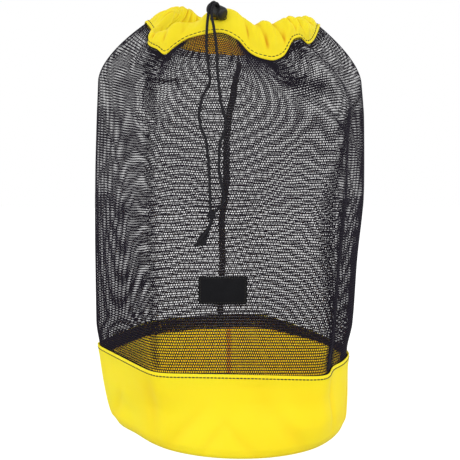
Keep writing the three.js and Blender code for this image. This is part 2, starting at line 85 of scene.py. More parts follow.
class Hold(Enum):
    """How a sheet of cloth is held."""

    HUNG = "hung"
    GATHERED = "gathered"
    LAID = "laid"
    STRETCHED = "stretched"


class Table:
    """Rows of named columns, read row by row or between rows with a smooth curve that never overshoots."""

    def __init__(self, columns: str, rows: list[tuple[float, ...]], turn: float = 0.0) -> None:
        """Keeps the rows.

        Args:
            columns: Names of the columns, parted by spaces.
            rows: One tuple for each row, with the first column rising where the table is read between rows.
            turn: Length of a full turn of the first column, or 0 for a table that doesn't repeat.
        """
        values = np.array(rows, dtype=float)
        names = columns.split()
        if turn:
            shift = np.zeros(len(names))
            shift[0] = turn
            values = np.concatenate([values - shift, values, values + shift])
        self.turn = turn
        self.key = values[:, 0]
        self.columns = dict(zip(names, values.T))

    def at(self, column: str, key: np.ndarray | float) -> np.ndarray:
        """Reads a column at any keys.

        Args:
            column: Name of the column.
            key: Places along the first column.

        Returns:
            The column's values there.
        """
        if self.turn:
            key = wrapped(key)
        value = self.columns[column]
        step = np.diff(self.key)
        rise = np.diff(value) / step
        slope = np.zeros_like(value)
        product = rise[:-1] * rise[1:]
        total = np.where(product > 0, rise[:-1] + rise[1:], 1.0)
        slope[1:-1] = np.where(product > 0, 2 * product / total, 0.0)
        i = np.clip(np.searchsorted(self.key, key) - 1, 0, len(step) - 1)
        t = np.clip((key - self.key[i]) / step[i], 0, 1)
        return smooth_curve(value[i], value[i + 1], slope[i] * step[i], slope[i + 1] * step[i], t)


def smooth_curve(a: np.ndarray, b: np.ndarray, start: np.ndarray, end: np.ndarray,
                 t: np.ndarray) -> np.ndarray:
    """Goes from a to b as t goes from 0 to 1, with given slopes.

    Args:
        a: Values at the start.
        b: Values at the end.
        start: Slopes at the start.
        end: Slopes at the end.
        t: Shares of the way.

    Returns:
        The values on the way.
    """
    return a + t * (start + t * (3 * (b - a) - 2 * start - end + t * (2 * (a - b) + start + end)))


def wrapped(azimuth: np.ndarray | float) -> np.ndarray:
    """Brings azimuths into the half turn to each side of the front."""
    return (np.asarray(azimuth, dtype=float) + HALF_TURN) % FULL_TURN - HALF_TURN


def smoothstep(value: np.ndarray | float, low: float, high: float) -> np.ndarray:
    """Rises smoothly from 0 at low to 1 at high."""
    t = np.clip((np.asarray(value, dtype=float) - low) / (high - low), 0, 1)
    return t * t * (3 - 2 * t)


def lerp(a: np.ndarray | float, b: np.ndarray | float, t: np.ndarray | float) -> np.ndarray:
    """Goes from a to b as t goes from 0 to 1."""
    return a + (b - a) * t


def unit(vectors: np.ndarray) -> np.ndarray:
    """Scales vectors to length 1."""
    return vectors / np.linalg.norm(vectors, axis=-1, keepdims=True)


# Flat panels of the sack's plan at the rim, which meet in soft corners
PANELS = Table("azimuth reach", [
    (0, 105), (68, 118), (105, 113), (130, 112), (180, 125), (207, 118), (246, 115), (304, 108.6),
])
# Reach of the sack to each side of its axis, by height, and how far its plan is drawn to a circle
SECTIONS = Table("height left right front back round", [
    (0, 112, 117, 108.5, 112, 0.9),
    (8, 118.5, 120, 110.5, 117, 0.75),
    (30, 124, 120.5, 108.5, 121, 0.4),
    (73, 130, 121, 106, 125, 0),
    (100, 133.5, 126, 108, 128, 0),
    (160, 133.5, 129.5, 111, 131, 0.05),
    (235, 132.5, 135.5, 112, 131, 0.1),
    (300, 130, 134.5, 110, 129, 0.1),
    (340, 128, 131.5, 106, 124, 0.2),
    (392, 126, 128.5, 102, 118, 0.45),
])
# Height of the base's rim
RIM = Table("azimuth height", [(-90, 76), (0, 73.5), (90, 69.5), (180, 79)], FULL_TURN)
# Folds that press the wall in along a line from low to high
FOLDS = Table("low high start end depth spread", [
    (-40, 66, -44, -36, 7, 24),
    (-40, 44, -60, -60, 5, 14),
    (-40, 50, 25, 30, -6, 30),
    (10, 372, 51, 64, 6.5, 8),
    (296, 372, -36, -30, 9, 8),
    (286, 376, 52, 22, 8, 7),
    (60, 372, 181, 172, 4, 9),
])
# The casing round the mouth, a row for each lobe, hill or pleat
CASING = Table("azimuth hem_reach hem_height top_reach top_height", [
    (-150, 86.5, 379, 58, 410),
    (-135, 85.5, 383, 53, 414),
    (-120, 84.5, 387, 50, 412.5),
    (-85, 81, 392, 46, 402),
    (-64, 77.5, 378, 55, 398),
    (-47, 95.5, 360, 85, 371),
    (-40, 96.6, 355.5, 83, 374),
    (-34, 97.3, 350, 81.4, 377),
    (-29, 94.6, 356, 77.2, 378.5),
    (-22, 90.7, 363, 71.8, 380),
    (-4, 91, 367, 67, 392),
    (6, 91, 361, 69, 388),
    (13, 92, 350, 72, 383),
    (18, 94, 346, 73.5, 376),
    (24, 96.6, 344, 75.7, 379),
    (31, 95.8, 348, 76, 379.5),
    (41, 92.5, 365, 75.6, 383),
    (48, 91.2, 368, 76, 388),
    (55, 90.6, 364, 78.8, 387),
    (85, 91.8, 389, 68.4, 393.5),
    (120, 90.4, 386, 61, 397),
    (155, 87.6, 375, 59.7, 393),
], FULL_TURN)


@dataclass
class SackForm:
    """The sack's walls as surfaces: outline, net and casing."""

    nylon: float = 1.2
    net: float = 1.2
    tuck_gap: float = 0.5
    net_foot: float = 64.0
    side_hem: float = 392.0
    corner_sharpness: float = 22.0
    fold_fade: float = 0.3
    shoulder_start: float = 0.83
    shoulder_power: float = 1.8
    gathers: int = 20
    gather_depth: float = 1.5
    normal_turn: float = 0.5
    normal_rise: float = 0.5
    normal_share: float = 0.002
    extent: dict[str, float] = field(default_factory=dict)

    def __post_init__(self) -> None:
        """Measures how far the plan reaches to each side."""
        azimuth = np.arange(0.0, FULL_TURN)
        reach = self.plan_reach(azimuth)
        across = reach * np.sin(np.radians(azimuth))
        ahead = reach * np.cos(np.radians(azimuth))
        self.extent = {
            "right": across.max(),
            "left": -across.min(),
            "front": ahead.max(),
            "back": -ahead.min(),
        }

    @property
    def net_out(self) -> float:
        """Depth of the net's outer face below the outline."""
        return self.nylon + self.tuck_gap

    @property
    def net_in(self) -> float:
        """Depth of the net's inner face below the outline."""
        return self.net_out + self.net

    def plan_reach(self, azimuth: np.ndarray) -> np.ndarray:
        """Reach of the soft-cornered plan before it is fitted to a section."""
        facing = np.cos(np.radians(np.asarray(azimuth)[..., None] - PANELS.key))
        nearness = np.maximum(0, facing / PANELS.columns["reach"]) ** self.corner_sharpness
        return nearness.sum(axis=-1) ** (-1 / self.corner_sharpness)

    def fold_depth(self, azimuth: np.ndarray, height: np.ndarray) -> np.ndarray:
        """How far all folds together press the wall in.

        Args:
            azimuth: Places round the sack.
            height: Heights above the floor.

        Returns:
            The depths in millimetres.
        """
        depth = np.zeros(np.broadcast(azimuth, height).shape)
        for low, high, start, end, deep, spread in zip(*FOLDS.columns.values()):
            share = np.clip((height - low) / (high - low), 0, 1)
            fade = smoothstep(share, 0, self.fold_fade) * (1 - smoothstep(share, 1 - self.fold_fade, 1))
            off = wrapped(azimuth - lerp(start, end, share)) / spread
            depth = depth + deep * fade * np.exp(-off * off)
        return depth

    def outline(self, azimuth: np.ndarray, height: np.ndarray) -> np.ndarray:
        """Points of the sack's outline.

        Args:
            azimuth: Places round the sack.
            height: Heights above the floor.

        Returns:
            Points with x, y and z in the last axis.
        """
        azimuth, height = np.broadcast_arrays(np.asarray(azimuth, float), np.asarray(height, float))
        a = np.radians(azimuth)
        left = np.sin(a) < 0
        front = np.cos(a) > 0
        side = np.where(left, SECTIONS.at("left", height), SECTIONS.at("right", height))
        face = np.where(front, SECTIONS.at("front", height), SECTIONS.at("back", height))
        rounded = SECTIONS.at("round", height)
        panel = self.plan_reach(azimuth)
        wide = lerp(panel / np.where(left, self.extent["left"], self.extent["right"]), 1, rounded) * side
        deep = lerp(panel / np.where(front, self.extent["front"], self.extent["back"]), 1, rounded) * face
        pressed = 1 - self.fold_depth(azimuth, height) / panel
        return np.stack([wide * pressed * np.sin(a), -deep * pressed * np.cos(a), height], axis=-1)

    def net_wall(self, azimuth: np.ndarray, share: np.ndarray) -> np.ndarray:
        """Points of the net's wall, from its foot at share 0 to the casing's hem at share 1.

        Args:
            azimuth: Places round the sack.
            share: Shares of the way from the foot to the hem.

        Returns:
            Points with x, y and z in the last axis.
        """
        azimuth, share = np.broadcast_arrays(np.asarray(azimuth, float), np.asarray(share, float))
        hem = CASING.at("hem_height", azimuth)
        height = lerp(self.net_foot, hem, share)
        point = self.outline(azimuth, height + (self.side_hem - hem) * share ** 3)
        drawn = np.maximum(0, (share - self.shoulder_start) / (1 - self.shoulder_start))
        drawn = (drawn ** self.shoulder_power)[..., None]
        point = lerp(point, spoke_point(azimuth, CASING.at("hem_reach", azimuth), hem), drawn)
        point[..., 2] = height
        return point

    def net_share(self, azimuth: np.ndarray, height: np.ndarray) -> np.ndarray:
        """Shares of the way up the net's wall at some heights."""
        return (height - self.net_foot) / (CASING.at("hem_height", azimuth) - self.net_foot)

    def off_wall(self, wall: Wall, azimuth: np.ndarray, level: np.ndarray, out: np.ndarray | float,
                 step: float) -> np.ndarray:
        """Points off a wall along its outward normal.

        Args:
            wall: The wall, as a function of azimuth and level.
            azimuth: Places round the sack.
            level: Heights or shares up the wall.
            out: Distances outwards.
            step: Change of level that the normal is measured over.

        Returns:
            Points with x, y and z in the last axis.
        """
        azimuth, level = np.broadcast_arrays(np.asarray(azimuth, float), np.asarray(level, float))
        across = wall(azimuth + self.normal_turn, level) - wall(azimuth - self.normal_turn, level)
        up = wall(azimuth, level + step) - wall(azimuth, level - step)
        outward = unit(np.cross(across, up))
        return wall(azimuth, level) + outward * np.asarray(out, float)[..., None]

    def off_base(self, azimuth: np.ndarray, height: np.ndarray, out: np.ndarray | float) -> np.ndarray:
        """Points off the outline by height."""
        return self.off_wall(self.outline, azimuth, height, out, self.normal_rise)

    def off_net(self, azimuth: np.ndarray, share: np.ndarray, out: np.ndarray | float) -> np.ndarray:
        """Points off the net's wall by share."""
        return self.off_wall(self.net_wall, azimuth, share, out, self.normal_share)

    def casing(self, azimuth: np.ndarray, along: np.ndarray, out: np.ndarray | float) -> np.ndarray:
        """Points of the casing.

        Args:
            azimuth: Places round the mouth.
            along: Shares of the way from the hem to the top edge.
            out: Distances out of the casing's middle.

        Returns:
            Points with x, y and z in the last axis.
        """
        azimuth, along = np.broadcast_arrays(np.asarray(azimuth, float), np.asarray(along, float))
        hem_reach = CASING.at("hem_reach", azimuth) - self.net_out
        hem_height = CASING.at("hem_height", azimuth)
        up_reach = CASING.at("top_reach", azimuth) - hem_reach
        up_height = CASING.at("top_height", azimuth) - hem_height
        length = np.hypot(up_reach, up_height)
        offset = out + self.gather_depth * along * np.sin(np.radians(self.gathers * azimuth))
        reach = hem_reach + up_reach * along + offset * up_height / length
        height = hem_height + up_height * along - offset * up_reach / length
        return spoke_point(azimuth, reach, height)

    def casing_length(self, azimuth: np.ndarray) -> np.ndarray:
        """Length of the casing's section from its hem to its top edge."""
        ends = [self.casing(azimuth, np.full_like(azimuth, share), 0.0) for share in (0.0, 1.0)]
        return np.linalg.norm(ends[1] - ends[0], axis=-1)


def spoke_point(azimuth: np.ndarray, reach: np.ndarray, height: np.ndarray) -> np.ndarray:
    """Points at a reach from the axis."""
    a = np.radians(azimuth)
    return np.stack(np.broadcast_arrays(reach * np.sin(a), -reach * np.cos(a), height), axis=-1)


def running_length(points: np.ndarray, closed: bool) -> np.ndarray:
    """Mean length along the first axis of a grid of points.

    Args:
        points: Grid of points, with x, y and z in the last axis.
        closed: Whether the last row joins the first.

    Returns:
        Lengths from the first row to each row, and back to the first row if closed.
    """
    if closed:
        points = np.concatenate([points, points[:1]])
    steps = np.linalg.norm(np.diff(points, axis=0), axis=-1).reshape(len(points) - 1, -1).mean(axis=1)
    return np.concatenate([[0.0], np.cumsum(steps)])


def finished_mesh(obj: bpy.types.Object) -> bpy.types.Object:
    """Turns an object's modifiers into plain mesh.

    Args:
        obj: The object with its modifiers.

    Returns:
        The same object with no modifiers left.
    """
    evaluated = obj.evaluated_get(bpy.context.evaluated_depsgraph_get())
    mesh = bpy.data.meshes.new_from_object(evaluated)
    obj.modifiers.clear()
    obj.data = mesh
    mesh.name = obj.name
    return obj


def linked(name: str, mesh: bpy.types.Mesh) -> bpy.types.Object:
    """Puts a mesh in the scene as a new object."""
    obj = bpy.data.objects.new(name, mesh)
    bpy.context.scene.collection.objects.link(obj)
    return obj


@dataclass
class Loft:
    """A skin of four-sided faces over a grid of points, with a cloth map in metres."""

    points: np.ndarray
    close_rows: bool = False
    close_columns: bool = False
    capped: bool = False

    def corners(self) -> tuple[np.ndarray, np.ndarray]:
        """Rows and columns of each face's four corners, before they wrap."""
        rows, columns = self.points.shape[:2]
        r, c = np.meshgrid(
            np.arange(rows if self.close_rows else rows - 1),
            np.arange(columns if self.close_columns else columns - 1),
            indexing="ij",
        )
        r, c = r.reshape(-1, 1), c.reshape(-1, 1)
        return r + np.array([0, 0, 1, 1]), c + np.array([0, 1, 1, 0])

    def build(self, name: str, material: bpy.types.Material, sharp_degrees: float = 60.0) -> bpy.types.Object:
        """Makes the object.

        Args:
            name: Its name.
            material: Its material.
            sharp_degrees: Edges that turn by more than this stay sharp.

        Returns:
            The object, with its faces turned outwards.
        """
        rows, columns = self.points.shape[:2]
        r, c = self.corners()
        faces = ((r % rows) * columns + c % columns).tolist()
        along = running_length(self.points, self.close_rows)
        around = running_length(self.points.swapaxes(0, 1), self.close_columns)
        cloth = np.stack([along[r], around[c]], axis=-1).reshape(-1, 2) * MM
        if self.capped:
            faces.append(list(range(columns)))
            faces.append(list(range((rows - 1) * columns, rows * columns)))
            cloth = np.concatenate([cloth, np.zeros((2 * columns, 2))])
        mesh = bpy.data.meshes.new(name)
        mesh.from_pydata((self.points.reshape(-1, 3) * MM).tolist(), [], faces)
        mesh.uv_layers.new(name=CLOTH_MAP).data.foreach_set("uv", cloth.ravel())
        mesh.materials.append(material)
        turn_outwards(mesh)
        mesh.shade_smooth()
        mesh.set_sharp_from_angle(angle=math.radians(sharp_degrees))
        return linked(name, mesh)


def turn_outwards(mesh: bpy.types.Mesh) -> None:
    """Turns a mesh's faces outwards."""
    work = bmesh.new()
    work.from_mesh(mesh)
    bmesh.ops.recalc_face_normals(work, faces=work.faces)
    work.to_mesh(mesh)
    work.free()


def smooth_route(route: list[tuple[float, float, float]], spacing: float) -> np.ndarray:
    """Runs a smooth curve through a cord's points.

    Args:
        route: The given points.
        spacing: Distance between the points of the result.

    Returns:
        Evenly spaced points from the first to the last.
    """
    given = np.array(route, dtype=float)
    p = np.concatenate([[2 * given[0] - given[1]], given, [2 * given[-1] - given[-2]]])
    gap = np.sqrt(np.linalg.norm(np.diff(p, axis=0), axis=1))[:, None]
    t = np.linspace(0, 1, ROUTE_STEPS, endpoint=False)[:, None]
    dense = []
    for i in range(1, len(p) - 2):
        before, here, after = gap[i - 1], gap[i], gap[i + 1]
        a, b = p[i], p[i + 1]
        leave = (a - p[i - 1]) / before - (b - p[i - 1]) / (before + here) + (b - a) / here
        reach = (b - a) / here - (p[i + 2] - a) / (here + after) + (p[i + 2] - b) / after
        dense.append(smooth_curve(a, b, leave * here, reach * here, t))
    dense.append(given[-1:])
    points = np.concatenate(dense)
    length = running_length(points, closed=False)
    even = np.linspace(0, length[-1], max(2, round(length[-1] / spacing) + 1))
    return np.stack([np.interp(even, length, axis) for axis in points.T], axis=-1)


def tube_points(path: np.ndarray, radius: np.ndarray | float, sides: int) -> np.ndarray:
    """Rings round a path that don't twist.

    Args:
        path: Points of the centre line.
        radius: Radius, one for all or one for each point.
        sides: Points in each ring.

    Returns:
        Grid of points, a row for each ring.
    """
    tangent = unit(np.gradient(path, axis=0))
    normal = np.empty_like(path)
    normal[0] = unit(np.cross(tangent[0], RING_START))
    for i in range(1, len(path)):
        carried = normal[i - 1] - tangent[i] * np.dot(normal[i - 1], tangent[i])
        normal[i] = carried / np.linalg.norm(carried)
    side = np.cross(tangent, normal)
    turn = 2 * np.pi * np.arange(sides) / sides
    ring = normal[:, None] * np.cos(turn)[:, None] + side[:, None] * np.sin(turn)[:, None]
    return path[:, None] + ring * np.broadcast_to(radius, len(path))[:, None, None]


def add_node(tree: bpy.types.NodeTree, kind: str, inputs: dict[str | int, object],
             settings: dict[str, object]) -> bpy.types.Node:
    """Adds a node to a tree.

    Args:
        tree: The tree.
        kind: The node's full type.
        inputs: Values or sockets for its inputs, by name or index.
        settings: Its own settings.

    Returns:
        The node.
    """
    made = tree.nodes.new(kind)
    for key, value in settings.items():
        setattr(made, key, value)
    for key, value in inputs.items():
        if isinstance(value, bpy.types.NodeSocket):
            tree.links.new(value, made.inputs[key])
        else:
            made.inputs[key].default_value = value
    return made


class ShaderTree:
    """A node material under construction round its Principled shader."""

    def __init__(self, name: str, **surface: object) -> None:
        """Starts the material.

        Args:
            name: Its name.
            surface: Constant values of the shader, by socket name with _ for spaces.
        """
        self.material = bpy.data.materials.new(name)
        self.material.use_nodes = True
        self.tree = self.material.node_tree
        self.surface = self.tree.nodes["Principled BSDF"]
        for key, value in surface.items():
            self.surface.inputs[key.replace("_", " ")].default_value = value

    def node(self, kind: str, inputs: dict[str | int, object], **settings: object) -> bpy.types.Node:
        """Adds a node, by its type without the ShaderNode prefix."""
        return add_node(self.tree, "ShaderNode" + kind, inputs, settings)

    def place(self) -> bpy.types.NodeSocket:
        """Coordinates in the object's own frame."""
        return self.node("TexCoord", {}).outputs["Object"]

    def cloth(self) -> bpy.types.NodeSocket:
        """Coordinates on the piece's cloth map."""
        return self.node("UVMap", {}, uv_map=CLOTH_MAP).outputs["UV"]

    def noise(self, at: bpy.types.NodeSocket, scale: float, detail: float) -> bpy.types.NodeSocket:
        """A noise of about 1/scale metres."""
        return self.node("TexNoise", {"Vector": at, "Scale": scale, "Detail": detail}).outputs["Fac"]

    def ribs(self, at: bpy.types.NodeSocket, pitch: float, direction: str) -> bpy.types.NodeSocket:
        """Even ribs.

        Args:
            at: Coordinates in metres.
            pitch: Distance between ribs in millimetres.
            direction: X, Y or DIAGONAL.

        Returns:
            The ribs' height from 0 to 1.
        """
        scale = 2 * math.pi / (20 * pitch * MM)
        made = self.node("TexWave", {"Vector": at, "Scale": scale}, bands_direction=direction)
        return made.outputs["Fac"]

    def math(self, operation: str, a: object, b: object) -> bpy.types.NodeSocket:
        """A sum, product or the like of two values."""
        return self.node("Math", {0: a, 1: b}, operation=operation).outputs[0]

    def mixed(self, factor: object, a: tuple, b: tuple | bpy.types.NodeSocket) -> bpy.types.NodeSocket:
        """A colour between a and b."""
        made = self.node("Mix", {0: factor, 6: a, 7: b}, data_type="RGBA")
        return made.outputs[2]

    def colour(self, socket: bpy.types.NodeSocket) -> None:
        """Sets the shader's colour."""
        self.tree.links.new(socket, self.surface.inputs["Base Color"])

    def roughness(self, socket: bpy.types.NodeSocket, low: float, high: float) -> None:
        """Spreads a value over a range of roughness."""
        ranged = self.node("MapRange", {"Value": socket, "To Min": low, "To Max": high})
        self.tree.links.new(ranged.outputs[0], self.surface.inputs["Roughness"])

    def relief(self, *layers: tuple[bpy.types.NodeSocket, float, float]) -> None:
        """Stacks bumps, each a height socket, a strength and a depth in millimetres."""
        normal = None
        for height, strength, depth in layers:
            bump = self.node("Bump", {"Height": height, "Strength": strength, "Distance": depth * MM})
            if normal:
                self.tree.links.new(normal, bump.inputs["Normal"])
            normal = bump.outputs["Normal"]
        self.tree.links.new(normal, self.surface.inputs["Normal"])


def rgba(red: float, green: float, blue: float) -> tuple[float, float, float, float]:
    """A linear colour with no transparency."""
    return (red, green, blue, 1.0)


@dataclass(frozen=True)
class NylonFinish:
    """Coated woven nylon with soft creases and a deep orange mixed in by a point attribute: the real tone
    along seams, and painted shade in creases, pucker valleys and on inner faces.
    """

    bright: tuple[float, ...] = rgba(0.92, 0.83, 0.035)
    deep: tuple[float, ...] = rgba(0.93, 0.66, 0.008)
    # Deep orange of the seam, also used as painted shade in creases, pucker valleys and on inner faces
    seam: tuple[float, ...] = rgba(0.62, 0.24, 0.003)
    glow: float = 0.5
    glow_reach: tuple[float, float, float] = (1.0, 0.9, 0.2)
    glow_depth: float = 2.0
    yarn_pitch: float = 0.45

    def material(self) -> bpy.types.Material:
        """Makes the material."""
        tree = ShaderTree("yellow coated nylon", Specular_IOR_Level=0.08, Subsurface_Weight=self.glow,
                          Subsurface_Radius=self.glow_reach, Subsurface_Scale=self.glow_depth * MM)
        place, cloth = tree.place(), tree.cloth()
        patches = tree.noise(place, 11.0, 2.0)
        # The seam's tone and painted shade, read from the point attribute
        seam = tree.node("Attribute", {}, attribute_name=SEAM_AND_SHADE_ATTRIBUTE).outputs["Fac"]
        tree.colour(tree.mixed(seam, tree.mixed(patches, self.bright, self.deep), self.seam))
        tree.roughness(tree.noise(place, 70.0, 3.0), 0.42, 0.6)
        yarns = [tree.ribs(cloth, self.yarn_pitch, direction) for direction in ("X", "Y")]
        weave = tree.math("MULTIPLY", *yarns)
        tree.relief((tree.noise(place, 55.0, 4.0), 0.35, 1.2), (weave, 0.12, 0.1))
        return tree.material


@dataclass(frozen=True)
class NetFinish:
    """Knitted polyester strands."""

    dark: tuple[float, ...] = rgba(0.005, 0.0035, 0.0085)
    worn: tuple[float, ...] = rgba(0.012, 0.0085, 0.0175)

    def material(self) -> bpy.types.Material:
        """Makes the material."""
        tree = ShaderTree("black knitted net", Specular_IOR_Level=0.15)
        place = tree.place()
        tree.colour(tree.mixed(tree.noise(place, 40.0, 3.0), self.dark, self.worn))
        tree.roughness(tree.noise(place, 300.0, 1.0), 0.5, 0.75)
        return tree.material


@dataclass(frozen=True)
class WovenFinish:
    """A woven black tape or label with ribs across it."""

    name: str
    dark: tuple[float, ...]
    light: tuple[float, ...]
    rib_pitch: float
    yarn_pitch: float

    def material(self) -> bpy.types.Material:
        """Makes the material."""
        tree = ShaderTree(self.name, Specular_IOR_Level=0.1)
        place, cloth = tree.place(), tree.cloth()
        ribs = tree.ribs(cloth, self.rib_pitch, "X")
        yarns = tree.ribs(cloth, self.yarn_pitch, "Y")
        weave = tree.math("MULTIPLY", ribs, yarns)
        tone = tree.math("MULTIPLY", weave, tree.noise(place, 120.0, 2.0))
        tree.colour(tree.mixed(tone, self.dark, self.light))
        tree.roughness(weave, 0.55, 0.8)
        tree.relief((tree.noise(place, 90.0, 2.0), 0.25, 0.5), (weave, 0.5, 0.15))
        return tree.material


@dataclass(frozen=True)
class CordFinish:
    """Braided cord whose strands cross on the slant."""

    dark: tuple[float, ...] = rgba(0.004, 0.004, 0.005)
    light: tuple[float, ...] = rgba(0.018, 0.017, 0.021)
    braid_pitch: float = 1.3

    def material(self) -> bpy.types.Material:
        """Makes the material."""
        tree = ShaderTree("black braided cord", Specular_IOR_Level=0.12)
        cloth = tree.cloth()
        mirror = tree.node("Mapping", {"Vector": cloth, "Scale": (1.0, -1.0, 1.0)}).outputs["Vector"]
        one_way = tree.ribs(cloth, self.braid_pitch, "DIAGONAL")
        other_way = tree.ribs(mirror, self.braid_pitch, "DIAGONAL")
        braid = tree.math("MAXIMUM", one_way, other_way)
        tree.colour(tree.mixed(braid, self.dark, self.light))
        tree.roughness(braid, 0.8, 0.6)
        tree.relief((braid, 0.6, 0.25))
        return tree.material


@dataclass(frozen=True)
class PlasticFinish:
    """Moulded black plastic with a satin skin."""

    dark: tuple[float, ...] = rgba(0.006, 0.006, 0.007)
    light: tuple[float, ...] = rgba(0.014, 0.014, 0.016)

    def material(self) -> bpy.types.Material:
        """Makes the material."""
        tree = ShaderTree("black moulded plastic", Specular_IOR_Level=0.3)
        place = tree.place()
        scuffs = tree.noise(place, 350.0, 3.0)
        tree.colour(tree.mixed(scuffs, self.dark, self.light))
        tree.roughness(scuffs, 0.3, 0.5)
        tree.relief((tree.noise(place, 2500.0, 2.0), 0.15, 0.05))
        return tree.material


@dataclass(frozen=True)
class ThreadFinish:
    """Twisted sewing thread."""

    name: str
    dark: tuple[float, ...]
    light: tuple[float, ...]

    def material(self) -> bpy.types.Material:
        """Makes the material."""
        tree = ShaderTree(self.name, Specular_IOR_Level=0.3)
        place = tree.place()
        tree.colour(tree.mixed(tree.noise(place, 500.0, 1.0), self.dark, self.light))
        tree.roughness(tree.noise(place, 900.0, 1.0), 0.55, 0.8)
        return tree.material


@dataclass
class Palette:
    """All materials of the sack."""

    nylon: bpy.types.Material
    net: bpy.types.Material
    tape: bpy.types.Material
    label: bpy.types.Material
    cord: bpy.types.Material
    plastic: bpy.types.Material
    thread: bpy.types.Material
    fray: bpy.types.Material

    @classmethod
    def mixed(cls) -> "Palette":
        """Makes every material once."""
        black = rgba(0.004, 0.004, 0.005)
        tape = WovenFinish("black binding tape", black, rgba(0.02, 0.018, 0.02), 0.8, 0.8)
        label = WovenFinish("black woven label", black, rgba(0.018, 0.018, 0.022), 0.5, 0.7)
        thread = ThreadFinish("dark thread", rgba(0.008, 0.007, 0.007), rgba(0.03, 0.026, 0.02))
        fray = ThreadFinish("frayed cord yarn", black, rgba(0.018, 0.017, 0.021))
        return cls(
            nylon=NylonFinish().material(),
            net=NetFinish().material(),
            tape=tape.material(),
            label=label.material(),
            cord=CordFinish().material(),
            plastic=PlasticFinish().material(),
            thread=thread.material(),
            fray=fray.material(),
        )


class GeometryTree:
    """A Geometry Nodes tree under construction, with one geometry in and one out."""

    def __init__(self, name: str, material: bpy.types.Material) -> None:
        """Starts the tree.

        Args:
            name: Its name.
            material: The material that its result gets.
        """
        self.tree = bpy.data.node_groups.new(name, "GeometryNodeTree")
        self.material = material
        self.inputs: dict[str, str] = {}
        self.tree.interface.new_socket("Geometry", in_out="INPUT", socket_type="NodeSocketGeometry")
        self.tree.interface.new_socket("Geometry", in_out="OUTPUT", socket_type="NodeSocketGeometry")
        self.start = self.tree.nodes.new("NodeGroupInput")
        self.end = self.tree.nodes.new("NodeGroupOutput")

    def size(self, name: str, kind: str = "Float") -> bpy.types.NodeSocket:
        """Adds a named input for a size.

        Args:
            name: The input's name.
            kind: Float or Int.

        Returns:
            Its socket inside the tree.
        """
        made = self.tree.interface.new_socket(name, in_out="INPUT", socket_type="NodeSocket" + kind)
        self.inputs[name] = made.identifier
        return self.start.outputs[name]

    def node(self, kind: str, inputs: dict[str | int, object], **settings: object) -> bpy.types.Node:
        """Adds a node, by its full type."""
        return add_node(self.tree, kind, inputs, settings)

    def attribute(self, name: str, data_type: str) -> bpy.types.NodeSocket:
        """Reads a named attribute."""
        return self.node("GeometryNodeInputNamedAttribute", {"Name": name}, data_type=data_type).outputs[0]

    def finish(self, geometry: bpy.types.NodeSocket) -> None:
        """Ends the tree with smooth shading, real geometry and the material."""
        smooth = self.node("GeometryNodeSetShadeSmooth", {"Geometry": geometry})
        real = self.node("GeometryNodeRealizeInstances", {"Geometry": smooth.outputs[0]})
        coated = self.node("GeometryNodeSetMaterial", {
            "Geometry": real.outputs[0],
            "Material": self.material,
        })
        self.tree.links.new(coated.outputs[0], self.end.inputs[0])

    def run(self, obj: bpy.types.Object, **sizes: float) -> bpy.types.Object:
        """Runs the tree on an object and keeps the result as plain mesh.

        Args:
            obj: The object whose mesh goes in.
            sizes: Values of the named inputs, with _ for spaces.

        Returns:
            The same object.
        """
        modifier = obj.modifiers.new("form", "NODES")
        modifier.node_group = self.tree
        for name, value in sizes.items():
            modifier[self.inputs[name.replace("_", " ")]] = value
        return finished_mesh(obj)


class StrandTree(GeometryTree):
    """Makes a flat yarn of each strand in a mesh of edges, as wide as its radius attribute."""

    def __init__(self, name: str, material: bpy.types.Material) -> None:
        """Builds the tree."""
        super().__init__(name, material)
        sides = self.size("Sides", "Int")
        flatness = self.size("Flatness")
        lines = self.node("GeometryNodeMeshToCurve", {"Mesh": self.start.outputs[0]})
        turned = self.node("GeometryNodeSetCurveNormal", {
            "Curve": lines.outputs[0],
            "Normal": self.attribute(NORMAL_ATTRIBUTE, "FLOAT_VECTOR"),
        }, mode="FREE")
        circle = self.node("GeometryNodeCurvePrimitiveCircle", {"Resolution": sides, "Radius": 1.0})
        squeeze = self.node("ShaderNodeCombineXYZ", {0: flatness, 1: 1.0, 2: 1.0})
        profile = self.node("GeometryNodeTransform", {
            "Geometry": circle.outputs[0],
            "Scale": squeeze.outputs[0],
        })
        tubes = self.node("GeometryNodeCurveToMesh", {
            "Curve": turned.outputs[0],
            "Profile Curve": profile.outputs[0],
            "Scale": self.attribute(RADIUS_ATTRIBUTE, "FLOAT"),
            "Fill Caps": True,
        })
        self.finish(tubes.outputs[0])


class StitchTree(GeometryTree):
    """Lays rounded stitches end to end along a mesh of edges."""

    def __init__(self, name: str, material: bpy.types.Material) -> None:
        """Builds the tree."""
        super().__init__(name, material)
        pitch = self.size("Pitch")
        half_length = self.size("Half Length")
        radius = self.size("Radius")
        line = self.node("GeometryNodeMeshToCurve", {"Mesh": self.start.outputs[0]})
        spots = self.node("GeometryNodeResampleCurve", {
            "Curve": line.outputs[0],
            "Length": pitch,
        }, mode="LENGTH")
        ball = self.node("GeometryNodeMeshUVSphere", {"Segments": 7, "Rings": 5, "Radius": 1.0})
        scale = self.node("ShaderNodeCombineXYZ", {0: half_length, 1: radius, 2: radius})
        tangent = self.node("GeometryNodeInputTangent", {})
        turn = self.node("FunctionNodeAlignRotationToVector", {"Vector": tangent.outputs[0]}, axis="X")
        stitches = self.node("GeometryNodeInstanceOnPoints", {
            "Points": spots.outputs[0],
            "Instance": ball.outputs[0],
            "Rotation": turn.outputs[0],
            "Scale": scale.outputs[0],
        })
        self.finish(stitches.outputs[0])


def edge_object(name: str, points: np.ndarray, edges: np.ndarray) -> bpy.types.Object:
    """Makes an object of bare edges.

    Args:
        name: Its name.
        points: Points in millimetres.
        edges: Pairs of point numbers.

    Returns:
        The object.
    """
    mesh = bpy.data.meshes.new(name)
    mesh.from_pydata((points * MM).tolist(), edges.tolist(), [])
    return linked(name, mesh)


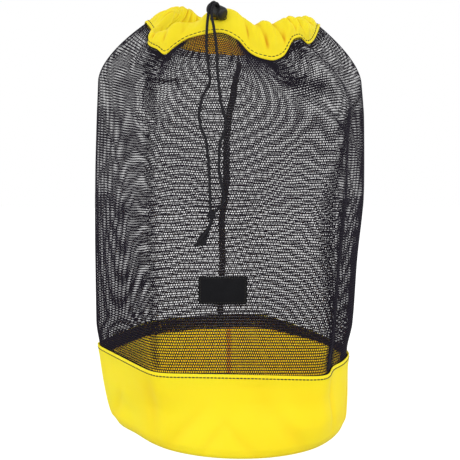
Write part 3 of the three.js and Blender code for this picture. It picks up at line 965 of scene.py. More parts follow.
def strand_edges(count: int, closed: bool, strands: int = 1) -> np.ndarray:
    """Edges that join the points of each strand one after the other.

    Args:
        count: Number of points in a strand.
        closed: Whether its ends meet.
        strands: Number of strands.

    Returns:
        Pairs of point numbers.
    """
    start = np.arange(count if closed else count - 1)
    edges = np.stack([start, (start + 1) % count], axis=-1)
    return (edges[None] + count * np.arange(strands)[:, None, None]).reshape(-1, 2)


def set_tone(obj: bpy.types.Object, tone: np.ndarray) -> None:
    """Stores how far the nylon's colour goes to its deep colour at each point: the seam's own tone, and
    painted shade.
    """
    obj.data.attributes.new(SEAM_AND_SHADE_ATTRIBUTE, "FLOAT", "POINT").data.foreach_set("value", tone.ravel())


def mesh_values(items: bpy.types.bpy_prop_collection, name: str, kind: type, width: int = 1) -> np.ndarray:
    """Reads a property of all points, corners or faces of a mesh.

    Args:
        items: The points, corners or faces.
        name: The property.
        kind: Type of its numbers.
        width: Numbers for each of them.

    Returns:
        All numbers in one row.
    """
    values = np.empty(width * len(items), dtype=kind)
    items.foreach_get(name, values)
    return values


@dataclass
class Strands:
    """Strands of one kind: their points, outward normals, edges and the radius of each or all."""

    points: np.ndarray
    normals: np.ndarray
    edges: np.ndarray
    radius: np.ndarray | float


def strand_object(name: str, strands: list[Strands]) -> bpy.types.Object:
    """Joins strands of several kinds into one mesh of edges with a radius and a normal at each point.

    Args:
        name: Name of the object.
        strands: Each kind of strand.

    Returns:
        The object.
    """
    starts = np.cumsum([0] + [len(kind.points) for kind in strands])
    points = np.concatenate([kind.points for kind in strands])
    edges = np.concatenate([kind.edges + start for kind, start in zip(strands, starts)])
    radius = MM * np.concatenate([np.broadcast_to(kind.radius, len(kind.points)) for kind in strands])
    normals = np.concatenate([kind.normals for kind in strands])
    obj = edge_object(name, points, edges)
    obj.data.attributes.new(RADIUS_ATTRIBUTE, "FLOAT", "POINT").data.foreach_set("value", radius)
    normal = obj.data.attributes.new(NORMAL_ATTRIBUTE, "FLOAT_VECTOR", "POINT")
    normal.data.foreach_set("vector", normals.ravel())
    return obj


@dataclass
class Sewing:
    """Sews rows of stitches."""

    tree: StitchTree

    def row(self, name: str, path: np.ndarray, closed: bool, pitch: float = 4.0, length: float = 3.4,
            thickness: float = 0.8) -> bpy.types.Object:
        """Sews stitches along a path.

        Args:
            name: Name of the piece.
            path: Points of the path.
            closed: Whether its ends meet.
            pitch: Distance between stitches.
            length: Length of a stitch.
            thickness: Thickness of the thread.

        Returns:
            The stitches as one object.
        """
        line = edge_object(name, path, strand_edges(len(path), closed))
        return self.tree.run(line, Pitch=pitch * MM, Half_Length=length / 2 * MM, Radius=thickness / 2 * MM)


def dressed(obj: bpy.types.Object, body: Body, slot: Slot, *nodes: str) -> bpy.types.Object:
    """Puts a finished piece on its body.

    Args:
        obj: The piece.
        body: The body that it rides on.
        slot: The material slot of the piece; not used.
        nodes: Nodes of the model that it stands for.

    Returns:
        The same piece.
    """
    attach(obj, body.value)
    if nodes:
        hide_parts(*nodes)
    log.info("%s: %d faces on %s", obj.name, len(obj.data.polygons), body.value)
    return obj


# Lamps of the studio: place, width and power in watts
LAMPS = {
    "key lamp": ((150.0, -1400.0, 850.0), 900.0, 7.0),
    "fill lamp": ((-900.0, -1100.0, 500.0), 900.0, 3.0),
    "left lamp": ((-1500.0, -300.0, 500.0), 900.0, 3.0),
    "right lamp": ((1500.0, -500.0, 500.0), 900.0, 5.7),
    "inner lamp": ((0.0, -20.0, 215.0), 60.0, 0.9),
}


@dataclass
class Studio:
    """Camera, floor and soft white light."""

    camera_place: tuple[float, float, float] = (3.0, -700.0, 249.0)
    camera_pitch: float = 4.83
    focal_pixels: float = 702.0
    frame_pixels: float = 460.0
    sensor: float = 36.0
    floor_half: float = 4000.0
    floor_glow: float = 0.3
    floor_seen: float = 0.95
    room_glow: float = 0.8
    room_seen: float = 1.0
    small_lamp: float = 100.0
    lamp_aim: tuple[float, float, float] = (0.0, 0.0, 200.0)

    def build(self) -> None:
        """Sets up all of it."""
        self.camera()
        self.floor()
        self.lights()

    def camera(self) -> None:
        """Places the camera at the photograph's angle."""
        data = bpy.data.cameras.new("camera")
        data.sensor_width = self.sensor
        data.lens = self.focal_pixels / self.frame_pixels * self.sensor
        camera = bpy.data.objects.new("camera", data)
        camera.location = Vector(self.camera_place) * MM
        camera.rotation_euler = (math.radians(90.0 - self.camera_pitch), 0.0, 0.0)
        bpy.context.scene.collection.objects.link(camera)
        bpy.context.scene.camera = camera

    def floor(self) -> None:
        """Lays a white floor that glows a little, so that it meets the backdrop unseen."""
        half = self.floor_half
        corners = [[(x, y, 0.0) for x in (-half, half)] for y in (-half, half)]
        tree = ShaderTree("white floor", Base_Color=rgba(0.25, 0.25, 0.25), Roughness=0.9,
                          Emission_Color=rgba(1.0, 1.0, 1.0))
        glow = self.seen_or_lit(tree.tree, self.floor_glow, self.floor_seen)
        tree.tree.links.new(glow, tree.surface.inputs["Emission Strength"])
        Loft(np.array(corners)).build("floor", tree.material)

    def lights(self) -> None:
        """Lights the sack from a white room, four large soft lamps and a small one inside it."""
        world = bpy.data.worlds.new("white room")
        world.use_nodes = True
        backdrop = world.node_tree.nodes["Background"].inputs
        backdrop["Color"].default_value = rgba(1.0, 1.0, 1.0)
        glow = self.seen_or_lit(world.node_tree, self.room_glow, self.room_seen)
        world.node_tree.links.new(glow, backdrop["Strength"])
        bpy.context.scene.world = world
        bpy.context.scene.view_settings.view_transform = "Standard"
        for name, (place, size, power) in LAMPS.items():
            self.lamp(name, place, size, power)

    def seen_or_lit(self, tree: bpy.types.NodeTree, lit: float, seen: float) -> bpy.types.NodeSocket:
        """A strength that differs for what the camera sees and for the light it gives.

        Args:
            tree: The tree that gets the nodes.
            lit: Strength of the light.
            seen: Strength in the picture.

        Returns:
            The strength's socket.
        """
        rays = add_node(tree, "ShaderNodeLightPath", {}, {})
        strength = add_node(tree, "ShaderNodeMapRange", {
            "Value": rays.outputs["Is Camera Ray"],
            "To Min": lit,
            "To Max": seen,
        }, {})
        return strength.outputs["Result"]

    def lamp(self, name: str, place: tuple[float, float, float], size: float, power: float) -> None:
        """Adds a lamp: a large square that faces the sack, or a small ball of light.

        Args:
            name: Its name.
            place: Its place.
            size: Its width.
            power: Its power in watts.
        """
        small = size < self.small_lamp
        data = bpy.data.lights.new(name, "POINT" if small else "AREA")
        data.energy = power
        if small:
            data.shadow_soft_size = size / 2 * MM
        else:
            data.size = size * MM
        lamp = bpy.data.objects.new(name, data)
        lamp.location = Vector(place) * MM
        aim = Vector(self.lamp_aim) * MM - lamp.location
        lamp.rotation_euler = aim.to_track_quat("-Z", "Y").to_euler()
        lamp.visible_camera = False
        bpy.context.scene.collection.objects.link(lamp)


# Routes of the loose cord: out of the casing, through the lock, down the net and through the knot
LEFT_STRAND = [
    (-7.8, -76.8, 379.8), (-8.4, -83, 385.8), (-8.8, -86.9, 389.7), (-10.2, -90.5, 391.3),
    (-12.2, -92.9, 390.3), (-13.6, -93.7, 388.4), (-14.5, -93.5, 386.2), (-15.1, -93.4, 382.5),
    (-15.7, -93.7, 377.5), (-16.4, -94.4, 370.8), (-16.8, -95.1, 361.5), (-16.8, -96.3, 353),
    (-16.4, -98.5, 346), (-14.6, -103.4, 332.3), (-13.8, -105.6, 323.7), (-16.2, -106.3, 317.8),
    (-20.2, -107.5, 309.5), (-22, -108.6, 301), (-22.8, -109.5, 292.7), (-20.4, -110.1, 283.5),
    (-17.1, -110.6, 275.3), (-16.2, -111, 267), (-14.6, -111.6, 253), (-14.1, -111.9, 239.6),
    (-13.7, -112, 228), (-13.3, -112.2, 216.4),
]
LEFT_THROUGH_KNOT = [(-12.8, -113.4, 212)]
LEFT_TAIL = [
    (-12.9, -114.5, 207.9), (-14.1, -114.7, 204), (-15.5, -114.7, 200), (-18, -114.1, 196),
    (-21.2, -112.8, 192), (-24.2, -112, 188.6), (-26.6, -111.6, 185.8),
]
RIGHT_STRAND = [
    (-5.7, -78.2, 378.6), (-6.3, -84.4, 384.6), (-6.7, -88.4, 388.5), (-8.1, -91.9, 390.1),
    (-10.1, -94.4, 389.1), (-11.4, -95.1, 387.2), (-12.2, -94.9, 385.3), (-12.6, -94.9, 381.5),
    (-12.2, -95.1, 377), (-11, -95.4, 371.4), (-9.6, -95.9, 362.5), (-8.6, -96.8, 354),
    (-8, -99.4, 346), (-7.4, -104, 332), (-6.2, -106.8, 319.4), (-4.5, -108.6, 305),
    (-2.1, -109.6, 296), (-0.5, -110.1, 288.5), (-2, -110.6, 280.3), (-5.2, -111, 271.2),
    (-6.1, -111.5, 258.7), (-6.1, -111.9, 248), (-4.5, -112, 239.6), (-2.2, -112.1, 228.5),
    (-2.4, -112.1, 223), (-5.1, -112.2, 218.5), (-9.4, -112.7, 215.1),
]
RIGHT_THROUGH_KNOT = [(-12.1, -112.8, 211.8)]
RIGHT_TAIL = [
    (-12.1, -112, 207.8), (-13.3, -112, 204), (-14.7, -112, 200), (-16.3, -111.9, 195),
    (-17.7, -111.8, 191), (-19.1, -111.6, 186.8),
]


@dataclass
class Drawcord:
    """The cord in the casing, its two loose strands, their knot and their frayed tails."""

    form: SackForm
    palette: Palette
    diameter: float = 2.4
    sides: int = 12
    spacing: float = 0.9
    end_share: float = 0.8
    knot_centre: tuple[float, float, float] = (-12.4, -113.2, 212.2)
    knot_reach: tuple[float, float, float] = (2.5, 1.9, 2.3)
    knot_turns: float = 2.2
    knot_lean: float = 0.5
    knot_points: int = 60
    fray_yarns: int = 80
    fray_points: int = 6
    fray_start: tuple[float, float, float] = (-14.6, -113.2, 202.0)
    fray_root: tuple[float, float, float] = (0.9, 0.6, 1.5)
    fray_tip: tuple[float, float, float] = (0.5, 0.5, 1.3)
    fray_bow: tuple[float, float, float] = (0.7, 0.3, 0.4)
    fray_fan: tuple[float, float] = (-0.08, 1.05)
    fray_radius: float = 0.24
    fray_seed: int = 7
    ring_along: float = 0.5
    buttonhole: float = -5.0
    ring_end: float = 2.2
    ring_points: int = 420

    def build(self) -> None:
        """Makes and dresses all of the cord."""
        knot = self.knot()
        fray = self.fray()
        left = LEFT_STRAND + LEFT_THROUGH_KNOT + LEFT_TAIL
        right = RIGHT_STRAND + RIGHT_THROUGH_KNOT + RIGHT_TAIL
        self.strand("drawcord_strand_left", left, ("drawcord_left", "cord_tail_left"))
        self.strand("drawcord_strand_right", right, ("drawcord_right", "cord_tail_right"))
        self.ring()

    def cord(self, name: str, path: np.ndarray) -> bpy.types.Object:
        """Makes a cord with slightly drawn-in ends along a path."""
        ends = np.minimum(np.arange(len(path)), np.arange(len(path))[::-1])
        radius = self.diameter / 2 * np.where(ends == 0, self.end_share, 1.0)
        tube = Loft(tube_points(path, radius, self.sides), close_columns=True, capped=True)
        return tube.build(name, self.palette.cord)

    def strand(self, name: str, route: list[tuple[float, float, float]], nodes: tuple[str, ...]) -> None:
        """Makes a loose strand.

        Args:
            name: Name of the piece.
            route: Points of its route.
            nodes: Nodes that it stands for.
        """
        path = smooth_route(route, self.spacing)
        obj = dressed(self.cord(name, path), Body.SACK, Slot.CORD, *nodes)

    def knot(self) -> bpy.types.Object:
        """Makes the overhand knot that ties both strands."""
        turn = np.linspace(0, 1, self.knot_points)
        angle = 2 * np.pi * self.knot_turns * turn
        lean = self.knot_lean * np.sin(angle)
        wraps = np.stack([
            np.cos(angle) * self.knot_reach[0],
            np.sin(angle) * self.knot_reach[1],
            lerp(self.knot_reach[2], -self.knot_reach[2], turn) + lean,
        ], axis=-1)
        knot = self.cord("cord_knot_wraps", wraps + np.array(self.knot_centre))
        return dressed(knot, Body.SACK, Slot.CORD, "cord_knot")

    def fray(self) -> bpy.types.Object:
        """Makes the loose yarns that fan out between the tails."""
        chance = np.random.default_rng(self.fray_seed)
        count = self.fray_yarns
        start = np.array(self.fray_start) + chance.uniform(-1, 1, (count, 3)) * self.fray_root
        spread = chance.uniform(*self.fray_fan, (count, 1))
        end = lerp(np.array(LEFT_TAIL[-1]), np.array(RIGHT_TAIL[-1]), spread)
        end = end + chance.uniform(-1, 1, (count, 3)) * self.fray_tip
        share = np.linspace(0, 1, self.fray_points)[None, :, None]
        path = lerp(start[:, None], end[:, None], share)
        path = path + np.sin(np.pi * share) * chance.uniform(-1, 1, (count, 1, 3)) * self.fray_bow
        edges = strand_edges(self.fray_points, closed=False, strands=count)
        facing = np.broadcast_to((0.0, -1.0, 0.0), path.shape).reshape(-1, 3)
        yarns = Strands(path.reshape(-1, 3), facing, edges, self.fray_radius)
        obj = strand_object("cord_fray", [yarns])
        StrandTree("fray yarns", self.palette.fray).run(obj, Sides=4, Flatness=1.0)
        return dressed(obj, Body.SACK, Slot.CORD)

    def ring(self) -> None:
        """Makes the stretch of cord that lies hidden in the casing."""
        start = self.buttonhole + self.ring_end
        end = self.buttonhole - self.ring_end + FULL_TURN
        azimuth = np.linspace(start, end, self.ring_points)
        path = self.form.casing(azimuth, np.full_like(azimuth, self.ring_along), 0.0)
        dressed(self.cord("drawcord_in_casing", path), Body.SACK, Slot.CORD, "drawcord_ring")


# Creases where the net lies doubled, partly real doubled net and partly painted shade of the folds, its
# strands thickest in the middle: azimuth, half width in degrees and fullness, by height above the floor
CREASE_COLUMNS = "height azimuth half_width fullness"
NET_CREASES = {
    "left": Table(CREASE_COLUMNS, [
        (76, -31, 3, 0.3), (120, -31.5, 4, 0.45), (177, -32, 4, 0.45), (241, -33, 4, 0.45),
        (302, -36.5, 4, 0.4), (321, -37, 4, 0.5), (337, -41, 4, 0.6), (347, -43.5, 3, 0.6),
    ]),
    "right": Table(CREASE_COLUMNS, [
        (80, 43.5, 3, 0.4), (147, 39.5, 4, 0.6), (212, 36.5, 4, 0.6), (248, 40, 4, 0.6),
        (274, 48, 4, 0.55), (300, 60, 4, 0.5), (324, 75, 4, 0.4),
    ]),
    "right diagonal": Table(CREASE_COLUMNS, [
        (312, 37, 2, 0.4), (318, 34.5, 5, 0.8), (323, 32.5, 6, 1), (329, 30, 6, 1),
        (335, 28, 6, 1), (343, 24.5, 5, 0.9),
    ]),
    "right arch": Table(CREASE_COLUMNS, [
        (346, 36.5, 3, 0.5), (354, 39, 6, 0.9), (366, 42.5, 6, 1),
    ]),
    "left pocket": Table(CREASE_COLUMNS, [
        (338, -37, 5, 0.5), (346, -36, 10, 0.9), (352, -38, 10, 1), (358, -45, 5, 0.9),
    ]),
    "left streak": Table(CREASE_COLUMNS, [
        (321, -20, 2, 0.4), (326, -23, 6, 0.7), (330, -30, 6, 0.7), (334, -34, 2, 0.4),
    ]),
}
# Waves of the net's rows: size in millimetres, waves round the sack, change with the level, and phase
ROW_WAVES = Table("size waves climb phase", [
    (1.6, 3, 0, 1), (1.1, 5, 0, 2.3), (0.6, 11, 0, 0), (0.5, 13, 21, 0), (0.4, 29, -34, 0),
])


@dataclass
class NetBody:
    """The knitted net: level rows joined by short bars that step half a hole from row to row."""

    form: SackForm
    palette: Palette
    hole_pitch: float = 2.0
    row_pitch: float = 2.47
    row_radius: float = 0.57
    bar_radius: float = 0.42
    flatness: tuple[float, ...] = (0.7, 0.68, 0.5, 0.32)
    fineness: tuple[float, ...] = (1.04, 1.01, 0.96, 0.9)
    sides: int = 3
    lean_height: float = 372.0
    lean_power: float = 6.0
    hem_tuck: float = 1.0
    tuck_rows: int = 6
    tuck_foot: float = 0.04
    tuck_depth: float = 0.8
    tuck_below_rim: float = 1.0
    crease_depth: float = 1.2
    crease_crown: float = 1.02
    crease_points: int = 13
    crease_rounds: int = 6
    hem_rows: int = 3
    bands: tuple[str, ...] = ("net_lower", "net_middle", "net_upper", "net_shoulder")
    flat_width: float = 790.0

    def build(self) -> None:
        """Makes and dresses the net, from its lowest band to its highest."""
        tree = StrandTree("net strands", self.palette.net)
        levels = self.row_levels()
        between = (levels[:-1] + levels[1:]) / 2
        top = len(levels) - 1
        cuts = np.linspace(0, top, len(self.bands) + 1).round().astype(int)
        # Doubled net along the creases, which also stands in as painted shade of the folds
        creases = sum([self.crease(path, between) for path in NET_CREASES.values()], [])
        folded = self.band(tree, "net_creases", creases, self.flatness[0])
        dressed(folded, Body.SACK, Slot.NET)
        spans = zip(self.bands, cuts[:-1], cuts[1:], self.flatness, self.fineness)
        for name, low, high, flatness, fineness in spans:
            strands = [
                self.rows(levels[low:high + (high == top)], self.share, 0.0),
                self.bars(levels, np.arange(low, high), self.share, 0.0),
            ]
            if low == 0:
                strands.extend(self.tucked_edge())
            if high == top:
                strands.append(self.rows(between[-self.hem_rows:], self.share, self.tuck_depth))
            for kind in strands:
                kind.radius *= fineness
            obj = dressed(self.band(tree, name, strands, flatness), Body.SACK, Slot.NET, "net_body")

    def tucked_edge(self) -> list[Strands]:
        """The folded edge of the net that is sewn in behind the base's rim, as rows and bars."""
        levels = np.linspace(self.tuck_foot, 1, self.tuck_rows)
        gaps = np.arange(self.tuck_rows - 1)
        return [
            self.rows(levels, self.tucked_share, self.tuck_depth),
            self.bars(levels, gaps, self.tucked_share, self.tuck_depth),
        ]

    def row_height(self, azimuth: np.ndarray, level: np.ndarray) -> np.ndarray:
        """Heights of rows that lean into the casing's waves near the top.

        Args:
            azimuth: Places round the sack.
            level: Levels of the rows, from 0 at the foot to 1 at the hem.

        Returns:
            The heights above the floor.
        """
        foot = self.form.net_foot
        hem = CASING.at("hem_height", azimuth) + self.hem_tuck
        a = np.radians(azimuth)
        sway = sum(size * np.sin(waves * a + climb * level + phase)
                   for size, waves, climb, phase in zip(*ROW_WAVES.columns.values()))
        even = foot + level * (self.lean_height - foot)
        lean = (hem - self.lean_height) * level ** self.lean_power
        return even + lean + sway * np.sin(np.pi * np.clip(level, 0, 1)) ** 2

    def share(self, azimuth: np.ndarray, level: np.ndarray) -> np.ndarray:
        """Shares of the rows up the net's wall."""
        return self.form.net_share(azimuth, self.row_height(azimuth, level))

    def tucked_share(self, azimuth: np.ndarray, level: np.ndarray) -> np.ndarray:
        """Shares up the net's wall of the folded edge that is sewn in behind the base's rim."""
        foot = self.form.net_foot
        rise = RIM.at("height", azimuth) - self.tuck_below_rim - foot
        return level * rise / (CASING.at("hem_height", azimuth) - foot)

    def wall(self, azimuth: np.ndarray, share: np.ndarray, depth: float) -> np.ndarray:
        """Points in the middle of the net's thickness, or deeper."""
        middle = (self.form.net_out + self.form.net_in) / 2
        return self.form.off_net(azimuth, share, -middle - depth)

    def row_levels(self) -> np.ndarray:
        """Levels of rows that lie evenly up the cloth."""
        azimuth = np.arange(0.0, FULL_TURN, 6.0)[None]
        level = np.linspace(0, 1, 160)[:, None]
        length = running_length(self.wall(azimuth, self.share(azimuth, level), 0.0), closed=False)
        count = round(length[-1] / self.row_pitch)
        return np.interp(np.linspace(0, length[-1], count + 1), length, level.ravel())

    def hole_azimuth(self, hole: np.ndarray) -> np.ndarray:
        """Azimuths of holes, counted round the cloth at half its height."""
        azimuth = np.arange(0.0, FULL_TURN, 0.5)
        length = running_length(self.wall(azimuth, np.full_like(azimuth, 0.5), 0.0), closed=True)
        turns = np.concatenate([azimuth, [FULL_TURN]])
        at = (hole / self.holes() * length[-1]) % length[-1]
        return np.interp(at, length, turns)

    def holes(self) -> int:
        """Number of holes round the sack, which is even."""
        return round(self.flat_width / self.hole_pitch / 2) * 2

    def strands(self, azimuth: np.ndarray, share: np.ndarray, depth: float, edges: np.ndarray,
                radius: np.ndarray | float) -> Strands:
        """Lays strands on the wall.

        Args:
            azimuth: Places of their points round the sack.
            share: Shares of their points up the wall.
            depth: Distance inwards from the net's middle.
            edges: Pairs of point numbers.
            radius: Half the width of a strand.

        Returns:
            The strands.
        """
        points = self.wall(azimuth, share, depth)
        normals = points - self.wall(azimuth, share, depth + 1.0)
        return Strands(points.reshape(-1, 3), normals.reshape(-1, 3), edges, radius)

    def rows(self, levels: np.ndarray, share_of: Wall, depth: float) -> Strands:
        """Closed strands round the sack, with a point at every second hole.

        Args:
            levels: Levels of the rows.
            share_of: Gives the share up the wall at an azimuth and a level.
            depth: Distance inwards from the net's middle.

        Returns:
            The strands.
        """
        holes = self.hole_azimuth(np.arange(0, self.holes(), 2))
        azimuth, level = np.broadcast_arrays(holes[None], levels[:, None])
        edges = strand_edges(len(holes), closed=True, strands=len(levels))
        return self.strands(azimuth, share_of(azimuth, level), depth, edges, self.row_radius)

    def bars(self, levels: np.ndarray, gaps: np.ndarray, share_of: Wall, depth: float) -> Strands:
        """Short strands across the gaps between rows.

        Args:
            levels: Levels of all rows.
            gaps: Numbers of the rows below the gaps.
            share_of: Gives the share up the wall at an azimuth and a level.
            depth: Distance inwards from the net's middle.

        Returns:
            The strands.
        """
        step = 0.5 * (gaps % 2)
        holes = self.hole_azimuth(np.arange(self.holes())[None] + step[:, None])
        azimuth = np.repeat(holes[..., None], 2, axis=-1)
        level = np.broadcast_to(np.stack([levels[gaps], levels[gaps + 1]], axis=-1)[:, None], azimuth.shape)
        edges = np.arange(azimuth.size).reshape(-1, 2)
        return self.strands(azimuth, share_of(azimuth, level), depth, edges, self.bar_radius)

    def crease(self, path: Table, between: np.ndarray) -> list[Strands]:
        """Doubled net along a crease, whose rows show between the rows in front of them: partly real doubled
        net, partly painted shade of the fold.

        Args:
            path: The crease's azimuth, half width and fullness by height.
            between: Levels halfway between the net's rows.

        Returns:
            Its rows and bars, thickest in the middle of the crease.
        """
        height = lerp(self.form.net_foot, self.lean_height, between)
        for _ in range(self.crease_rounds):
            height = self.row_height(path.at("azimuth", height), between)
        inside = (height > path.key[0]) & (height < path.key[-1])
        height, level = height[inside][:, None], between[inside][:, None]
        side = np.linspace(-1, 1, self.crease_points)[None]
        azimuth = path.at("azimuth", height) + path.at("half_width", height) * side
        fullness = path.at("fullness", height) * (self.crease_crown - side * side)
        numbers = np.arange(azimuth.size).reshape(azimuth.shape)
        along = np.stack([numbers[:, :-1], numbers[:, 1:]], axis=-1).reshape(-1, 2)
        across = np.stack([numbers[:-1], numbers[1:]], axis=-1).reshape(-1, 2)
        share = self.share(azimuth, level)
        return [self.strands(azimuth, share, self.crease_depth, edges, radius * fullness.ravel())
                for edges, radius in ((along, self.row_radius), (across, self.bar_radius))]

    def band(self, tree: StrandTree, name: str, strands: list[Strands], flatness: float) -> bpy.types.Object:
        """Makes one band of net.

        Args:
            tree: The tree that turns strands into yarn.
            name: Name of the piece.
            strands: Each kind of strand.
            flatness: Thickness of a strand as a share of its width.

        Returns:
            The piece.
        """
        obj = strand_object(name, strands)
        tree.run(obj, Sides=self.sides, Flatness=flatness)
        self.unroll(obj.data)
        return obj

    def unroll(self, mesh: bpy.types.Mesh) -> None:
        """Maps a band as if it were unrolled from round the sack."""
        points = mesh_values(mesh.vertices, "co", float, 3).reshape(-1, 3)
        corner = mesh_values(mesh.loops, "vertex_index", int)
        first = mesh_values(mesh.polygons, "loop_start", int)
        size = mesh_values(mesh.polygons, "loop_total", int)
        u = (np.arctan2(points[:, 0], -points[:, 1]) / (2 * np.pi)) % 1.0
        low, high = points[:, 2].min(), points[:, 2].max()
        v = (points[:, 2] - low) / (high - low)
        u, v = u[corner], v[corner]
        start = np.repeat(u[first], size)
        u = u + (start - u > 0.5) - (u - start > 0.5)
        mesh.uv_layers.new(name=BAKE_MAP).data.foreach_set("uv", np.stack([u, v], axis=-1).ravel())


# Creases of the base's side: where they are, how they lean, and how long, wide and deep they are
CREASES = Table("azimuth height lean length width depth", [
    (-160, 40, 12, 30, 7, 1.7), (-128, 30, -30, 26, 6, 1.6), (-96, 44, 8, 30, 6, 1.9),
    (-70, 24, 38, 24, 6, 1.6), (-36, 45, 3, 30, 8, 1.7), (-20, 22, 44, 26, 6, 1.5),
    (-7, 15, 36, 20, 4, 1.3), (6, 16, -40, 22, 4, 1.3), (16, 52, 6, 22, 9, 0.8),
    (27, 20, -35, 26, 6, 1.5), (49, 44, -4, 28, 4, 1.9), (74, 30, 24, 26, 6, 1.6),
    (104, 40, -10, 30, 7, 1.7), (138, 26, 34, 26, 6, 1.6), (166, 44, 4, 28, 6, 1.6),
])
# Section of the bottom panel from its middle below to its middle above: share of its outline, and height
PANEL_SECTION = [
    (0.05, 0.0), (0.3, 0.0), (0.6, 0.0), (0.85, 0.0), (0.97, 0.0), (0.99, 0.1), (1.0, 0.5), (1.0, 1.0),
    (0.99, 1.3), (0.96, 1.3), (0.85, 1.25), (0.6, 1.2), (0.3, 1.2), (0.05, 1.2),
]


